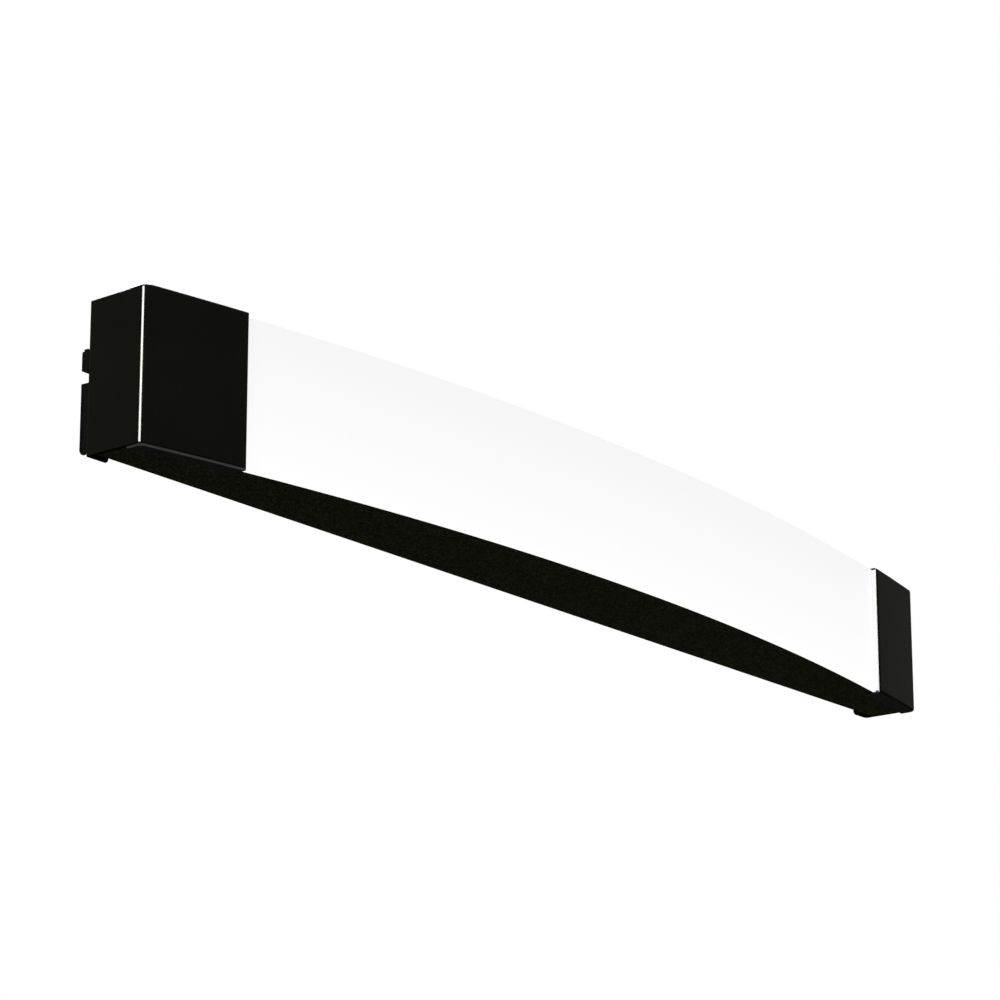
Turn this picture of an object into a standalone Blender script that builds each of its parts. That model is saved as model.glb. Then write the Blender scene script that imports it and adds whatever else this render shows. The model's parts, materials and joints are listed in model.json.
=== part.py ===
"""Bow-fronted LED vanity light bar that hangs on a wall plate.

X runs along the bar, the wall is the plane Y = 0 with the room on the -Y side, and Z is up.
The origin is the middle of the wall plate's back face. Sizes are in metres.
"""

import math

import bmesh
import bpy
from mathutils import Vector

mm = 0.001

# Driving dimensions of the whole bar
LENGTH = 810 * mm  # over the outer faces of the two end caps
HEIGHT = 93 * mm  # over the flanges of an end cap
END_DEPTH = 43 * mm  # an end cap's side, from its back to the sharp front corner
BOW = 41 * mm  # how far the front bulges past the two front corners
WALL_GAP = 6.4 * mm  # from the wall to the back of the end caps
CAP_FOOT_BELOW_ORIGIN = 34 * mm  # the end caps' lowest edge, below the wall plate's middle
FIT = 0.3 * mm  # gap left between pieces that touch

# End caps, pressed from sheet steel
CAP_WIDTH = 70.7 * mm
CAP_SHEET = 0.8 * mm
CAP_CORNER_RADIUS = 4 * mm
CAP_EDGE_RADIUS = 2 * mm
CAP_BACK_RADIUS = 1.6 * mm
CAP_FLANGE = 11.5 * mm  # top and bottom flanges, measured back from the face
CAP_SIDE_DROP = 1.5 * mm  # the side's edges stand this far inside the flanges' faces
CAP_RETURN = 17.5 * mm  # back flange, measured in from the side
CAP_RETURN_CORNER = 2.5 * mm
CAP_SCREW_RADIUS = 1.7 * mm
CAP_SCREW_INSET = 9 * mm  # from the cap's side to the screws
CAP_SCREW_SPREAD = 56 * mm
CAP_SLOT_RADIUS = 2.2 * mm

# Opal diffuser
DIFFUSER_SETBACK = 4.5 * mm  # its face, behind the faces of the end caps
DIFFUSER_SHEET = 2.5 * mm
DIFFUSER_TUCK = 12 * mm  # how far each end runs in behind an end cap
DIFFUSER_RIB = Vector((5, 2)) * mm  # depth and thickness of the ribs that locate it in the chassis

# Chassis, folded from sheet steel
CHASSIS_SHEET = 1.0 * mm
CHASSIS_BEND = 1.5 * mm
CHASSIS_SETBACK = 7 * mm  # its back wall, in front of the back of the end caps
END_PLATE_INSET = 3 * mm  # end plates, outside the end caps' inner edges
END_PLATE_FLANGE = 9 * mm

# Wall plate, pressed from sheet steel
PLATE_SHEET = 1.2 * mm
PLATE_TOP = 31 * mm
PLATE_FOOT = 25.5 * mm
PLATE_EAR_FOOT = 29.5 * mm
PLATE_DEPTH = 6.0 * mm
PLATE_EAR = 5 * mm  # width of the plate's lower corners, which reach down behind the end caps
RAIL_INSET = 20 * mm  # from the plate's end to the rail's
PLATE_END_INSET = 2.0 * mm
NOTCH_LOW, NOTCH_HIGH = 11 * mm, 18.5 * mm
NOTCH_DEPTH = 9 * mm
FLANGE_FOOT = NOTCH_DEPTH + 6 * mm
RAIL_FOOT = 10 * mm
TAB_HEIGHT = 12 * mm
PLATE_HOLE_RADIUS = 13 * mm
EAR_CORNER_RADIUS = 2.2 * mm
RAIL_REACH = 9 * mm
RAIL_LIP = 9.6 * mm
WALL_SLOT_RADIUS = 2.5 * mm
WALL_SLOT_LENGTH = 14 * mm
WALL_SLOTS_X = (44.5 * mm, 330 * mm)

# Hooks and locks between the body and the wall plate
BRACKET_SHEET = 1.2 * mm
HANGER_X = 230 * mm
HANGER_WIDTH = 60 * mm
HANGER_HEIGHT = 12 * mm
HOOK_CLEARANCE = 1.0 * mm
HOOK_DROP = 7.3 * mm
LOCK_X = 190 * mm
LOCK_WIDTH = 20 * mm
LOCK_SCREW_RADIUS = 1.9 * mm
LOCK_HEAD_RADIUS = 4.0 * mm
LOCK_HEAD_HEIGHT = 2.5 * mm
LOCK_SCREW_PAST = 5 * mm  # how far the lock screws stand out of the lugs
LOCK_AXIS_Y = 8 * mm  # distance of the lock screws' axes from the wall
LUG_GAP = 1.1 * mm  # between the plate's tabs and the lugs above them
LUG_HEIGHT = 16 * mm

# Light engine
TRAY_LENGTH = 656 * mm
TRAY_SHEET = 0.8 * mm
TRAY_FACE = 24 * mm  # tray's front face, in front of the chassis's inner back face
TRAY_FOOT = 9 * mm
TRAY_MARGIN = 5.4 * mm  # between the tray's feet and the chassis's plates
TRAY_SCREW_X = 290 * mm
BOARD_LENGTH = 210 * mm
BOARD_HEIGHT = 24 * mm
BOARD_THICKNESS = 1.6 * mm
BOARD_GAP = 8 * mm
SOCKET_LENGTH, SOCKET_DEPTH = 7 * mm, 3.6 * mm
LED_COUNT = 14
LED_PITCH = 13 * mm
LED_SIZE = Vector((3.5, 0.8, 2.8)) * mm

# Driver, terminal block and cable entry
DRIVER_LENGTH, DRIVER_DEPTH, DRIVER_HEIGHT = 140 * mm, 20 * mm, 36 * mm
DRIVER_WALL = 1.6 * mm
DRIVER_EAR = 2.4 * mm
DRIVER_X = -140 * mm
DRIVER_LEAD_DEPTH = 8 * mm  # the leads' holes, behind the rim of the driver's case
TERMINAL_X = 44 * mm
TERMINAL_SIZE = Vector((32, 15, 18)) * mm
CABLE_X = 120 * mm
CABLE_HOLE_RADIUS = 9 * mm
GROMMET_BORE = 6.5 * mm
WINDOW_LENGTH, WINDOW_HEIGHT = 56 * mm, 34 * mm
LEAD_RADIUS = 0.9 * mm
LEAD_PLAY = 0.9 * mm  # around a lead where it leaves the driver's case
EARTH_POST_RADIUS, EARTH_NUT_RADIUS = 1.7 * mm, 4 * mm
EARTH_PLATE_X, EARTH_Z = 160 * mm, 8 * mm
EARTH_BODY_X = 78 * mm
LEAD_HOLE_RADIUS = 4 * mm
TERMINAL_SCREW_Z = (-2.7 * mm, 2.7 * mm)
WAY_RADIUS = 2.2 * mm
CLEARANCE_HOLE = 2.0 * mm  # radius of the hole for a small screw

# Small fixings and what goes round them
SCREW_RADIUS, SCREW_HEAD_RADIUS, SCREW_HEAD_HEIGHT = 1.6 * mm, 3.0 * mm, 1.9 * mm
CAP_SCREW_HEAD_RADIUS, CAP_SCREW_LENGTH = 3.6 * mm, 5.4 * mm
SHORT_SCREW, COVER_SCREW, DRIVER_SCREW = 4.5 * mm, 5 * mm, 5.5 * mm  # lengths under the head
FIXING_INSET = 5 * mm  # from a fixing's middle to the edge beside it
BOARD_END_INSET = 5 * mm  # from a board's end to the middle of its socket
EARTH_POST_LENGTH = 7 * mm
EARTH_NUT_LIFT, EARTH_NUT_TOP = 1.4 * mm, 4.4 * mm  # the body post's nut, above the seat
DRIVER_BOARD_GAP, DRIVER_BOARD_THICKNESS = 3 * mm, 1.6 * mm
DRIVER_BOARD_INSET = 4 * mm
DRIVER_PARTS_HEIGHT = 10 * mm  # of the transformer and capacitors, off the board
TRANSFORMER_LOW_X, TRANSFORMER_HIGH_X, TRANSFORMER_HALF_HEIGHT = -12 * mm, 14 * mm, 10 * mm
CAPACITORS_X, CAPACITOR_LIFT, CAPACITOR_RADIUS = (-34 * mm, 32 * mm), 3 * mm, 5 * mm
DRIVER_EAR_LENGTH, DRIVER_EAR_HALF_HEIGHT = 10 * mm, 7 * mm
DRIVER_LID_THICKNESS = 1.2 * mm
TERMINAL_SHOULDER, TERMINAL_STEP = 8 * mm, 4 * mm
TERMINAL_BARREL = 4.5 * mm  # from the terminal's seat to the middle of its ways
TERMINAL_WAYS_X, TERMINAL_FIXING_X = (-11.5 * mm, -4.5 * mm, 10.5 * mm), 3 * mm
COVER_SIDE_MARGIN, COVER_END_MARGIN, COVER_CORNER = 4 * mm, 10 * mm, 4 * mm
GROMMET_LIP, GROMMET_LIP_THICKNESS, GROMMET_CHAMFER = 2.2 * mm, 2 * mm, 1 * mm
PAD_INSET, PAD_END_INSET = 6 * mm, 3 * mm
CUT_PAST = 1 * mm  # how far a hole's cutter runs past thin sheet

# Worked out from the dimensions above
BOW_RADIUS = ((LENGTH / 2) ** 2 + BOW**2) / (2 * BOW)
CORNER_Y = -(WALL_GAP + END_DEPTH)
BOW_CENTRE_Y = CORNER_Y - BOW + BOW_RADIUS
FOOT_Z = -CAP_FOOT_BELOW_ORIGIN
HEAD_Z = FOOT_Z + HEIGHT
MIDDLE_Z = (FOOT_Z + HEAD_Z) / 2
CAP_BACK_Y = -WALL_GAP
CAP_INNER_X = LENGTH / 2 - CAP_WIDTH
SKIN = CAP_SHEET + FIT  # what fits inside the caps' flanges starts here
CHASSIS_BACK_Y = CAP_BACK_Y - CHASSIS_SETBACK
CHASSIS_INNER_Y = CHASSIS_BACK_Y - CHASSIS_SHEET
CHASSIS_LOW, CHASSIS_HIGH = FOOT_Z + SKIN, HEAD_Z - SKIN
CHASSIS_END_X = LENGTH / 2 - max(CAP_EDGE_RADIUS, SKIN)
DIFFUSER_BACK = DIFFUSER_SETBACK + DIFFUSER_SHEET
DIFFUSER_END_X = CAP_INNER_X + DIFFUSER_TUCK
BRACKET_Y = CHASSIS_BACK_Y + FIT  # brackets lie against the back of the chassis from here
TRAY_FRONT_Y = CHASSIS_INNER_Y - TRAY_FACE
TRAY_BACK_Y = CHASSIS_INNER_Y - FIT
TRAY_HEIGHT = CHASSIS_HIGH - CHASSIS_LOW - 2 * (CHASSIS_SHEET + TRAY_MARGIN + TRAY_FOOT)
RAIL_TOP = PLATE_TOP + RAIL_LIP
RAIL_END_X = LENGTH / 2 - PLATE_END_INSET - RAIL_INSET
LEAD_HOLE_X, LEAD_HOLE_Z = -236 * mm, MIDDLE_Z + 20 * mm
BOARD_CENTRES = [i * (BOARD_LENGTH + BOARD_GAP) for i in (-1, 0, 1)]
BOARD_BACK_Y = TRAY_FRONT_Y - FIT
BOARD_FRONT_Y = BOARD_BACK_Y - BOARD_THICKNESS
SOCKET_TOP = MIDDLE_Z + BOARD_HEIGHT / 2 - 1 * mm
OVERSHOOT = 20 * mm  # how far cutters run past what they cut
BOW_STEPS = 24

MATERIALS = {
    "cap_black": ((0.010, 0.010, 0.007), 0.28, 0.0),
    "chassis_black": ((0.012, 0.012, 0.008), 0.62, 0.0),
    "plate_black": ((0.004, 0.004, 0.004), 0.55, 0.0),
    "opal": ((0.93, 0.93, 0.92), 0.35, 0.0),
    "reflector_white": ((0.82, 0.82, 0.80), 0.45, 0.0),
    "zinc": ((0.62, 0.62, 0.60), 0.35, 1.0),
    "board_white": ((0.80, 0.81, 0.80), 0.40, 0.0),
    "driver_white": ((0.70, 0.70, 0.68), 0.45, 0.0),
    "driver_green": ((0.05, 0.22, 0.08), 0.45, 0.0),
    "terminal_grey": ((0.55, 0.56, 0.56), 0.50, 0.0),
    "rubber": ((0.02, 0.02, 0.02), 0.80, 0.0),
    "foam": ((0.06, 0.06, 0.06), 0.90, 0.0),
    "brass": ((0.70, 0.52, 0.22), 0.35, 1.0),
    "lead_brown": ((0.16, 0.07, 0.03), 0.45, 0.0),
    "lead_blue": ((0.03, 0.12, 0.45), 0.45, 0.0),
    "lead_green": ((0.10, 0.38, 0.08), 0.45, 0.0),
    "lead_red": ((0.50, 0.03, 0.02), 0.45, 0.0),
    "lead_black": ((0.02, 0.02, 0.02), 0.45, 0.0),
}


# ---------------------------------------------------------------- scene and materials


def clear_scene():
    for found in list(bpy.data.objects):
        bpy.data.objects.remove(found)


def material(name):
    found = bpy.data.materials.get(name)
    if found:
        return found
    colour, roughness, metallic = MATERIALS[name]
    made = bpy.data.materials.new(name)
    made.use_nodes = True
    shader = made.node_tree.nodes["Principled BSDF"]
    shader.inputs["Base Color"].default_value = (*colour, 1.0)
    shader.inputs["Roughness"].default_value = roughness
    shader.inputs["Metallic"].default_value = metallic
    made.diffuse_color = (*colour, 1.0)
    return made


def place(name, bm, finish):
    """Turns a bmesh into a named object with its faces pointing out."""
    bmesh.ops.recalc_face_normals(bm, faces=bm.faces[:])
    mesh = bpy.data.meshes.new(name)
    bm.to_mesh(mesh)
    bm.free()
    mesh.shade_smooth()
    mesh.set_sharp_from_angle(angle=math.radians(32))
    made = bpy.data.objects.new(name, mesh)
    made.data.materials.append(material(finish))
    bpy.context.scene.collection.objects.link(made)
    return made


def combine(target, operation, name, bm):
    """Adds a live Boolean to the target, with the bmesh as its hidden second operand."""
    tool = place(f"{target.name}_{name}", bm, "zinc")
    tool.hide_render = True
    tool.display_type = "WIRE"
    modifier = target.modifiers.new(name, "BOOLEAN")
    modifier.operation = operation
    modifier.solver = "EXACT"
    modifier.object = tool


# ---------------------------------------------------------------- outlines and solids


def bow_y(x, inset=0.0):
    """Depth of the bowed face at x, moved back towards the wall by inset."""
    radius = BOW_RADIUS - inset
    return BOW_CENTRE_Y - math.sqrt(radius**2 - x**2)


def bow_points(x_from, x_to, inset, steps):
    found = [x_from + (x_to - x_from) * i / steps for i in range(steps + 1)]
    return [(x, bow_y(x, inset)) for x in found]


def rounded(points, radii, steps=3, closed=False):
    """Rounds the corners of a path; radii is one number or one for each point."""
    points = [Vector(p) for p in points]
    radii = [radii] * len(points) if isinstance(radii, float) else radii
    made = []
    for i, point in enumerate(points):
        at_end = not closed and i in (0, len(points) - 1)
        if at_end or radii[i] == 0:
            made.append(point)
            continue
        towards = (points[i - 1] - point).normalized()
        away = (points[(i + 1) % len(points)] - point).normalized()
        half = towards.angle(away) / 2
        centre = point + (towards + away).normalized() * radii[i] / math.sin(half)
        first = point + towards * radii[i] / math.tan(half) - centre
        last = point + away * radii[i] / math.tan(half) - centre
        for k in range(steps + 1):
            share = k / steps
            made.append(centre + (first * (1 - share) + last * share).normalized() * radii[i])
    return made


def folded(path, thickness):
    """Outline of a folded sheet: the path, and the path moved to its left by the thickness."""
    path = [Vector(p) for p in path]
    moved = []
    for i, point in enumerate(path):
        before = point - path[i - 1] if i else path[1] - path[0]
        after = path[i + 1] - point if i < len(path) - 1 else before
        normals = [Vector((-d.y, d.x)).normalized() for d in (before, after)]
        mitre = (normals[0] + normals[1]) / (1 + normals[0].dot(normals[1]))
        moved.append(point + mitre * thickness)
    return path + moved[::-1]


def stack(bm, rings):
    """Closes a pile of matching rings of points into one solid."""
    rows = [[bm.verts.new(p) for p in ring] for ring in rings]
    count = len(rows[0])
    for low, high in zip(rows, rows[1:]):
        for i in range(count):
            j = (i + 1) % count
            bm.faces.new((low[i], low[j], high[j], high[i]))
    bm.faces.new(rows[0][::-1])
    bm.faces.new(rows[-1])


def on_axis(axis, point, along):
    """A 2D point and a distance along an axis as a 3D point; X takes (y, z), Y (x, z) and Z (x, y)."""
    u, v = point
    return {"X": (along, u, v), "Y": (u, along, v), "Z": (u, v, along)}[axis]


def prism(bm, axis, outline, start, end):
    stack(bm, [[on_axis(axis, p, along) for p in outline] for along in (start, end)])


def rectangle(centre, half_u, half_v):
    u, v = centre
    return [(u - half_u, v - half_v), (u + half_u, v - half_v), (u + half_u, v + half_v),
        (u - half_u, v + half_v)]


def box(bm, low, high):
    corners = [(low[0], low[1]), (high[0], low[1]), (high[0], high[1]), (low[0], high[1])]
    prism(bm, "Z", corners, low[2], high[2])


def circle(centre, radius, steps=12):
    turns = [2 * math.pi * (i + 0.5) / steps for i in range(steps)]
    return [(centre[0] + radius * math.cos(a), centre[1] + radius * math.sin(a)) for a in turns]


def slot(centre, radius, length, steps=6):
    """Outline of a slot with round ends, along the first axis."""
    reach = length / 2 - radius
    made = []
    for side in (1, -1):
        for i in range(steps + 1):
            turn = math.pi * i / steps - math.pi / 2
            made.append((centre[0] + side * (reach + radius * math.cos(turn)),
                centre[1] + side * radius * math.sin(turn)))
    return made


def turned(bm, axis, centre, profile, steps=10):
    """Solid turned about an axis from (distance along the axis, radius) pairs."""
    rings = [[on_axis(axis, p, along) for p in circle(centre, radius, steps)] for along,
        radius in profile]
    stack(bm, rings)


def pan_screw(bm, axis, centre, seat, into, radius, length, head_radius, head_height):
    """Pan-head screw: its head stands on the seat and its shank runs the way that into says, +1 or -1."""
    out = -into
    profile = [
        (seat + out * head_height, head_radius * 0.7),
        (seat + out * head_height * 0.55, head_radius),
        (seat, head_radius),
        (seat, radius),
        (seat + into * length, radius),
    ]
    turned(bm, axis, centre, profile)


def screws(name, places, seat, into, length):
    """One small pan-head screw at each place, numbered from 1, or a left and right pair."""
    words = ("left", "right") if len(places) == 2 else range(1, len(places) + 1)
    for word, spot in zip(words, places):
        bm = bmesh.new()
        pan_screw(bm, "Y", spot, seat, into, SCREW_RADIUS, length, SCREW_HEAD_RADIUS, SCREW_HEAD_HEIGHT)
        place(f"{word}_{name}" if len(places) == 2 else f"{name}_{word}", bm, "zinc")


# ---------------------------------------------------------------- wall side


def wall_plate():
    """Flat plate on the wall, slotted for its screws and notched for a surface cable at each end."""
    bm = bmesh.new()
    end_x, ear_x = LENGTH / 2 - PLATE_END_INSET, LENGTH / 2 - PLATE_END_INSET - PLATE_EAR
    right = [(0, -PLATE_FOOT), (ear_x, -PLATE_FOOT), (ear_x, -PLATE_EAR_FOOT),
        (end_x, -PLATE_EAR_FOOT), (end_x, PLATE_TOP)]
    corners = right[1:] + [(-x, z) for x, z in reversed(right[1:])]
    radii = [0, EAR_CORNER_RADIUS, EAR_CORNER_RADIUS, EAR_CORNER_RADIUS]
    prism(bm, "Y", rounded(corners, radii + radii[::-1], closed=True), -PLATE_SHEET, 0)
    plate = place("wall_plate", bm, "plate_black")

    bm = bmesh.new()
    through = (-PLATE_SHEET - OVERSHOOT, OVERSHOOT)
    for side in (-1, 1):
        for x in WALL_SLOTS_X:
            prism(bm, "Y", slot((side * x, 0), WALL_SLOT_RADIUS, WALL_SLOT_LENGTH), *through)
        notch = sorted((side * (end_x - NOTCH_DEPTH), side * (end_x + OVERSHOOT)))
        box(bm, (notch[0], through[0], NOTCH_LOW), (notch[1], through[1], NOTCH_HIGH))
    prism(bm, "Y", circle((CABLE_X, 0), PLATE_HOLE_RADIUS, 16), *through)
    prism(bm, "Y", circle((EARTH_PLATE_X, EARTH_Z), CLEARANCE_HOLE), *through)
    combine(plate, "DIFFERENCE", "holes", bm)


def hook_rail():
    """Rail spot-welded along the plate, whose lip turns up behind the hangers' hooks."""
    face = -PLATE_SHEET - FIT
    low = PLATE_TOP - RAIL_FOOT
    path = [(face, low), (face, PLATE_TOP), (-RAIL_REACH, PLATE_TOP)]
    bm = bmesh.new()
    prism(bm, "X", folded(path, PLATE_SHEET), -RAIL_END_X, RAIL_END_X)
    rail = place("hook_rail", bm, "plate_black")
    bm = bmesh.new()
    lip = (-RAIL_REACH, -RAIL_REACH + PLATE_SHEET)
    box(bm, (-RAIL_END_X, lip[0], PLATE_TOP - PLATE_SHEET), (RAIL_END_X, lip[1], RAIL_TOP))
    combine(rail, "UNION", "lip", bm)


def end_flanges():
    """Angles spot-welded to the plate's ends, which close the gap behind the end caps."""
    face = -PLATE_SHEET - FIT
    outer = LENGTH / 2 - PLATE_END_INSET
    inner = outer - PLATE_SHEET
    for side, word in ((-1, "left"), (1, "right")):
        bm = bmesh.new()
        leg = sorted((side * inner, side * outer))
        corners = [(face, -PLATE_EAR_FOOT), (-PLATE_DEPTH, -PLATE_EAR_FOOT),
            (-PLATE_DEPTH, PLATE_TOP), (face, PLATE_TOP)]
        radii = [0, EAR_CORNER_RADIUS, EAR_CORNER_RADIUS, 0]
        prism(bm, "X", rounded(corners, radii, closed=True), *leg)
        flange = place(f"{word}_end_flange", bm, "plate_black")
        bm = bmesh.new()
        foot = sorted((side * (outer - FLANGE_FOOT), side * (inner + PLATE_SHEET / 2)))
        low, high = EAR_CORNER_RADIUS - PLATE_FOOT, PLATE_TOP - EAR_CORNER_RADIUS
        box(bm, (foot[0], face - PLATE_SHEET, low), (foot[1], face, high))
        combine(flange, "UNION", "foot", bm)
        bm = bmesh.new()
        notch = sorted((side * (outer - NOTCH_DEPTH), side * (outer + OVERSHOOT)))
        box(bm, (notch[0], -OVERSHOOT, NOTCH_LOW), (notch[1], OVERSHOOT, NOTCH_HIGH))
        combine(flange, "DIFFERENCE", "notch", bm)


def lock_tabs():
    """Angles spot-welded to the plate's foot, which the lock screws come up through."""
    face = -PLATE_SHEET - FIT
    path = [(face, -PLATE_FOOT + TAB_HEIGHT), (face, -PLATE_FOOT),
        (CHASSIS_BACK_Y + 1.9 * mm, -PLATE_FOOT)]
    for side, word in ((-1, "left"), (1, "right")):
        bm = bmesh.new()
        centre = side * LOCK_X
        prism(bm, "X", folded(path, -PLATE_SHEET), centre - LOCK_WIDTH / 2, centre + LOCK_WIDTH / 2)
        tab = place(f"{word}_lock_tab", bm, "plate_black")
        bm = bmesh.new()
        hole = circle((centre, -LOCK_AXIS_Y), LOCK_SCREW_RADIUS + FIT)
        prism(bm, "Z", hole, -PLATE_FOOT - 2 * mm, -PLATE_FOOT + 3 * mm)
        combine(tab, "DIFFERENCE", "hole", bm)


def plate_earth_post():
    """Brass earth post, pressed into the wall plate, with the nut that is run on to it."""
    bm = bmesh.new()
    web = -PLATE_SHEET
    turned(bm, "Y", (EARTH_PLATE_X, EARTH_Z), [(-FIT, EARTH_POST_RADIUS),
        (web - EARTH_POST_LENGTH, EARTH_POST_RADIUS)])
    post = place("plate_earth_post", bm, "brass")
    bm = bmesh.new()
    nut = circle((EARTH_PLATE_X, EARTH_Z), EARTH_NUT_RADIUS, 6)
    prism(bm, "Y", nut, web - 3.2 * mm, web - FIT)
    combine(post, "UNION", "nut", bm)


def lock_screws():
    """Captive thumbscrews that hold the body down on the wall plate, from below."""
    for side, word in ((-1, "left"), (1, "right")):
        bm = bmesh.new()
        seat = -PLATE_FOOT - FIT
        length = PLATE_SHEET + LUG_GAP + BRACKET_SHEET + LOCK_SCREW_PAST
        profile = [
            (seat - LOCK_HEAD_HEIGHT, LOCK_HEAD_RADIUS * 0.8),
            (seat - LOCK_HEAD_HEIGHT * 0.8, LOCK_HEAD_RADIUS),
            (seat, LOCK_HEAD_RADIUS),
            (seat, LOCK_SCREW_RADIUS),
            (seat + length, LOCK_SCREW_RADIUS),
        ]
        turned(bm, "Z", (side * LOCK_X, -LOCK_AXIS_Y), profile, 16)
        place(f"{word}_lock_screw", bm, "zinc")


# ---------------------------------------------------------------- chassis and its brackets


def chassis():
    """Folded body: back wall, bowed top and bottom plates."""
    far = CORNER_Y - BOW - OVERSHOOT
    end = CHASSIS_END_X + OVERSHOOT
    path = [(far, CHASSIS_LOW), (CHASSIS_BACK_Y, CHASSIS_LOW), (CHASSIS_BACK_Y, CHASSIS_HIGH),
        (far, CHASSIS_HIGH)]
    bm = bmesh.new()
    prism(bm, "X", folded(rounded(path, CHASSIS_BEND), CHASSIS_SHEET), -end, end)
    body = place("chassis", bm, "chassis_black")

    bm = bmesh.new()
    plan = bow_points(-CHASSIS_END_X, CHASSIS_END_X, DIFFUSER_BACK + FIT, BOW_STEPS)
    plan += [(CHASSIS_END_X, OVERSHOOT), (-CHASSIS_END_X, OVERSHOOT)]
    prism(bm, "Z", plan, FOOT_Z - OVERSHOOT, HEAD_Z + OVERSHOOT)
    combine(body, "INTERSECT", "plan", bm)

    bm = bmesh.new()
    through = (CHASSIS_INNER_Y - CUT_PAST, CHASSIS_BACK_Y + CUT_PAST)
    window = rectangle((CABLE_X, 0), WINDOW_LENGTH / 2, WINDOW_HEIGHT / 2)
    prism(bm, "Y", rounded(window, COVER_CORNER, closed=True), *through)
    fixings = cover_screw_places() + tray_screw_places() + driver_screw_places()
    for spot in [*fixings, (TERMINAL_X + TERMINAL_FIXING_X, 0), (EARTH_BODY_X, EARTH_Z)]:
        prism(bm, "Y", circle(spot, CLEARANCE_HOLE), *through)
    combine(body, "DIFFERENCE", "holes", bm)


def cover_screw_places():
    return [(CABLE_X + side * (WINDOW_LENGTH / 2 + FIXING_INSET), 0) for side in (-1, 1)]


def tray_screw_places():
    reach = TRAY_HEIGHT / 2 + TRAY_FOOT / 2
    return [(x, MIDDLE_Z + side * reach) for x in (-TRAY_SCREW_X, TRAY_SCREW_X) for side in (-1, 1)]


def driver_screw_places():
    return [(DRIVER_X + side * (DRIVER_LENGTH / 2 + FIXING_INSET), MIDDLE_Z) for side in (-1, 1)]


def hangers():
    """Hook brackets, spot-welded to the back of the chassis, which hang over the wall plate's lip."""
    ledge = RAIL_TOP + FIT + BRACKET_SHEET
    leg_y = BRACKET_Y + BRACKET_SHEET
    hook_y = -RAIL_REACH + PLATE_SHEET + HOOK_CLEARANCE + BRACKET_SHEET
    path = [(leg_y, ledge + HANGER_HEIGHT), (leg_y, ledge), (hook_y, ledge),
        (hook_y, RAIL_TOP - HOOK_DROP)]
    for side, word in ((-1, "left"), (1, "right")):
        bm = bmesh.new()
        centre = side * HANGER_X
        prism(bm, "X", folded(path, -BRACKET_SHEET), centre - HANGER_WIDTH / 2, centre + HANGER_WIDTH / 2)
        place(f"{word}_hanger", bm, "zinc")


def lock_lugs():
    """Angle brackets, spot-welded to the back of the chassis and tapped for the lock screws."""
    low = -PLATE_FOOT + PLATE_SHEET + LUG_GAP
    path = [(BRACKET_Y, low + LUG_HEIGHT), (BRACKET_Y, low), (-LOCK_AXIS_Y + LOCK_HEAD_RADIUS, low)]
    for side, word in ((-1, "left"), (1, "right")):
        bm = bmesh.new()
        centre = side * LOCK_X
        prism(bm, "X", folded(path, BRACKET_SHEET), centre - LOCK_WIDTH / 2, centre + LOCK_WIDTH / 2)
        lug = place(f"{word}_lock_lug", bm, "zinc")
        bm = bmesh.new()
        hole = circle((centre, -LOCK_AXIS_Y), LOCK_SCREW_RADIUS + FIT)
        prism(bm, "Z", hole, low - 2 * mm, low + 3 * mm)
        combine(lug, "DIFFERENCE", "thread", bm)


def cap_brackets():
    """Stepped brackets, spot-welded to the chassis, that carry the screws of the end caps."""
    pad_y = CAP_BACK_Y - CAP_SHEET - FIT
    half = CAP_SCREW_SPREAD / 2 + 7 * mm
    step = LENGTH / 2 - CAP_RETURN + 0.5 * mm
    foot_y = BRACKET_Y + BRACKET_SHEET
    path = [(CHASSIS_END_X - 0.5 * mm, pad_y), (step, pad_y), (step, foot_y), (step - 16 * mm, foot_y)]
    for side, word in ((-1, "left"), (1, "right")):
        bm = bmesh.new()
        outline = [(side * p.x, p.y) for p in folded(path, BRACKET_SHEET)]
        prism(bm, "Z", outline, MIDDLE_Z - half, MIDDLE_Z + half)
        bracket = place(f"{word}_cap_bracket", bm, "zinc")
        bm = bmesh.new()
        for spot in cap_screw_places(side):
            prism(bm, "Y", circle(spot, CAP_SCREW_RADIUS + FIT), pad_y - 3 * mm, pad_y + 1 * mm)
        combine(bracket, "DIFFERENCE", "threads", bm)


def cap_screw_places(side):
    x = side * (LENGTH / 2 - CAP_SCREW_INSET)
    return [(x, MIDDLE_Z + dz * CAP_SCREW_SPREAD / 2) for dz in (-1, 1)]


def end_plates():
    """White plates that close the light chamber behind the end caps."""
    low, high = CHASSIS_LOW + CHASSIS_SHEET + FIT, CHASSIS_HIGH - CHASSIS_SHEET - FIT
    inner = CAP_INNER_X + END_PLATE_INSET
    outer = inner + END_PLATE_FLANGE
    front = bow_y(outer, DIFFUSER_BACK + FIT) + FIT
    for side, word in ((-1, "left"), (1, "right")):
        path = [(outer, low), (inner, low), (inner, high), (outer, high)]
        outline = [(side * p.x, p.y) for p in folded(path, -CHASSIS_SHEET)]
        bm = bmesh.new()
        prism(bm, "Y", outline, front, TRAY_BACK_Y)
        place(f"{word}_end_plate", bm, "reflector_white")


# ---------------------------------------------------------------- light engine


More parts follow.
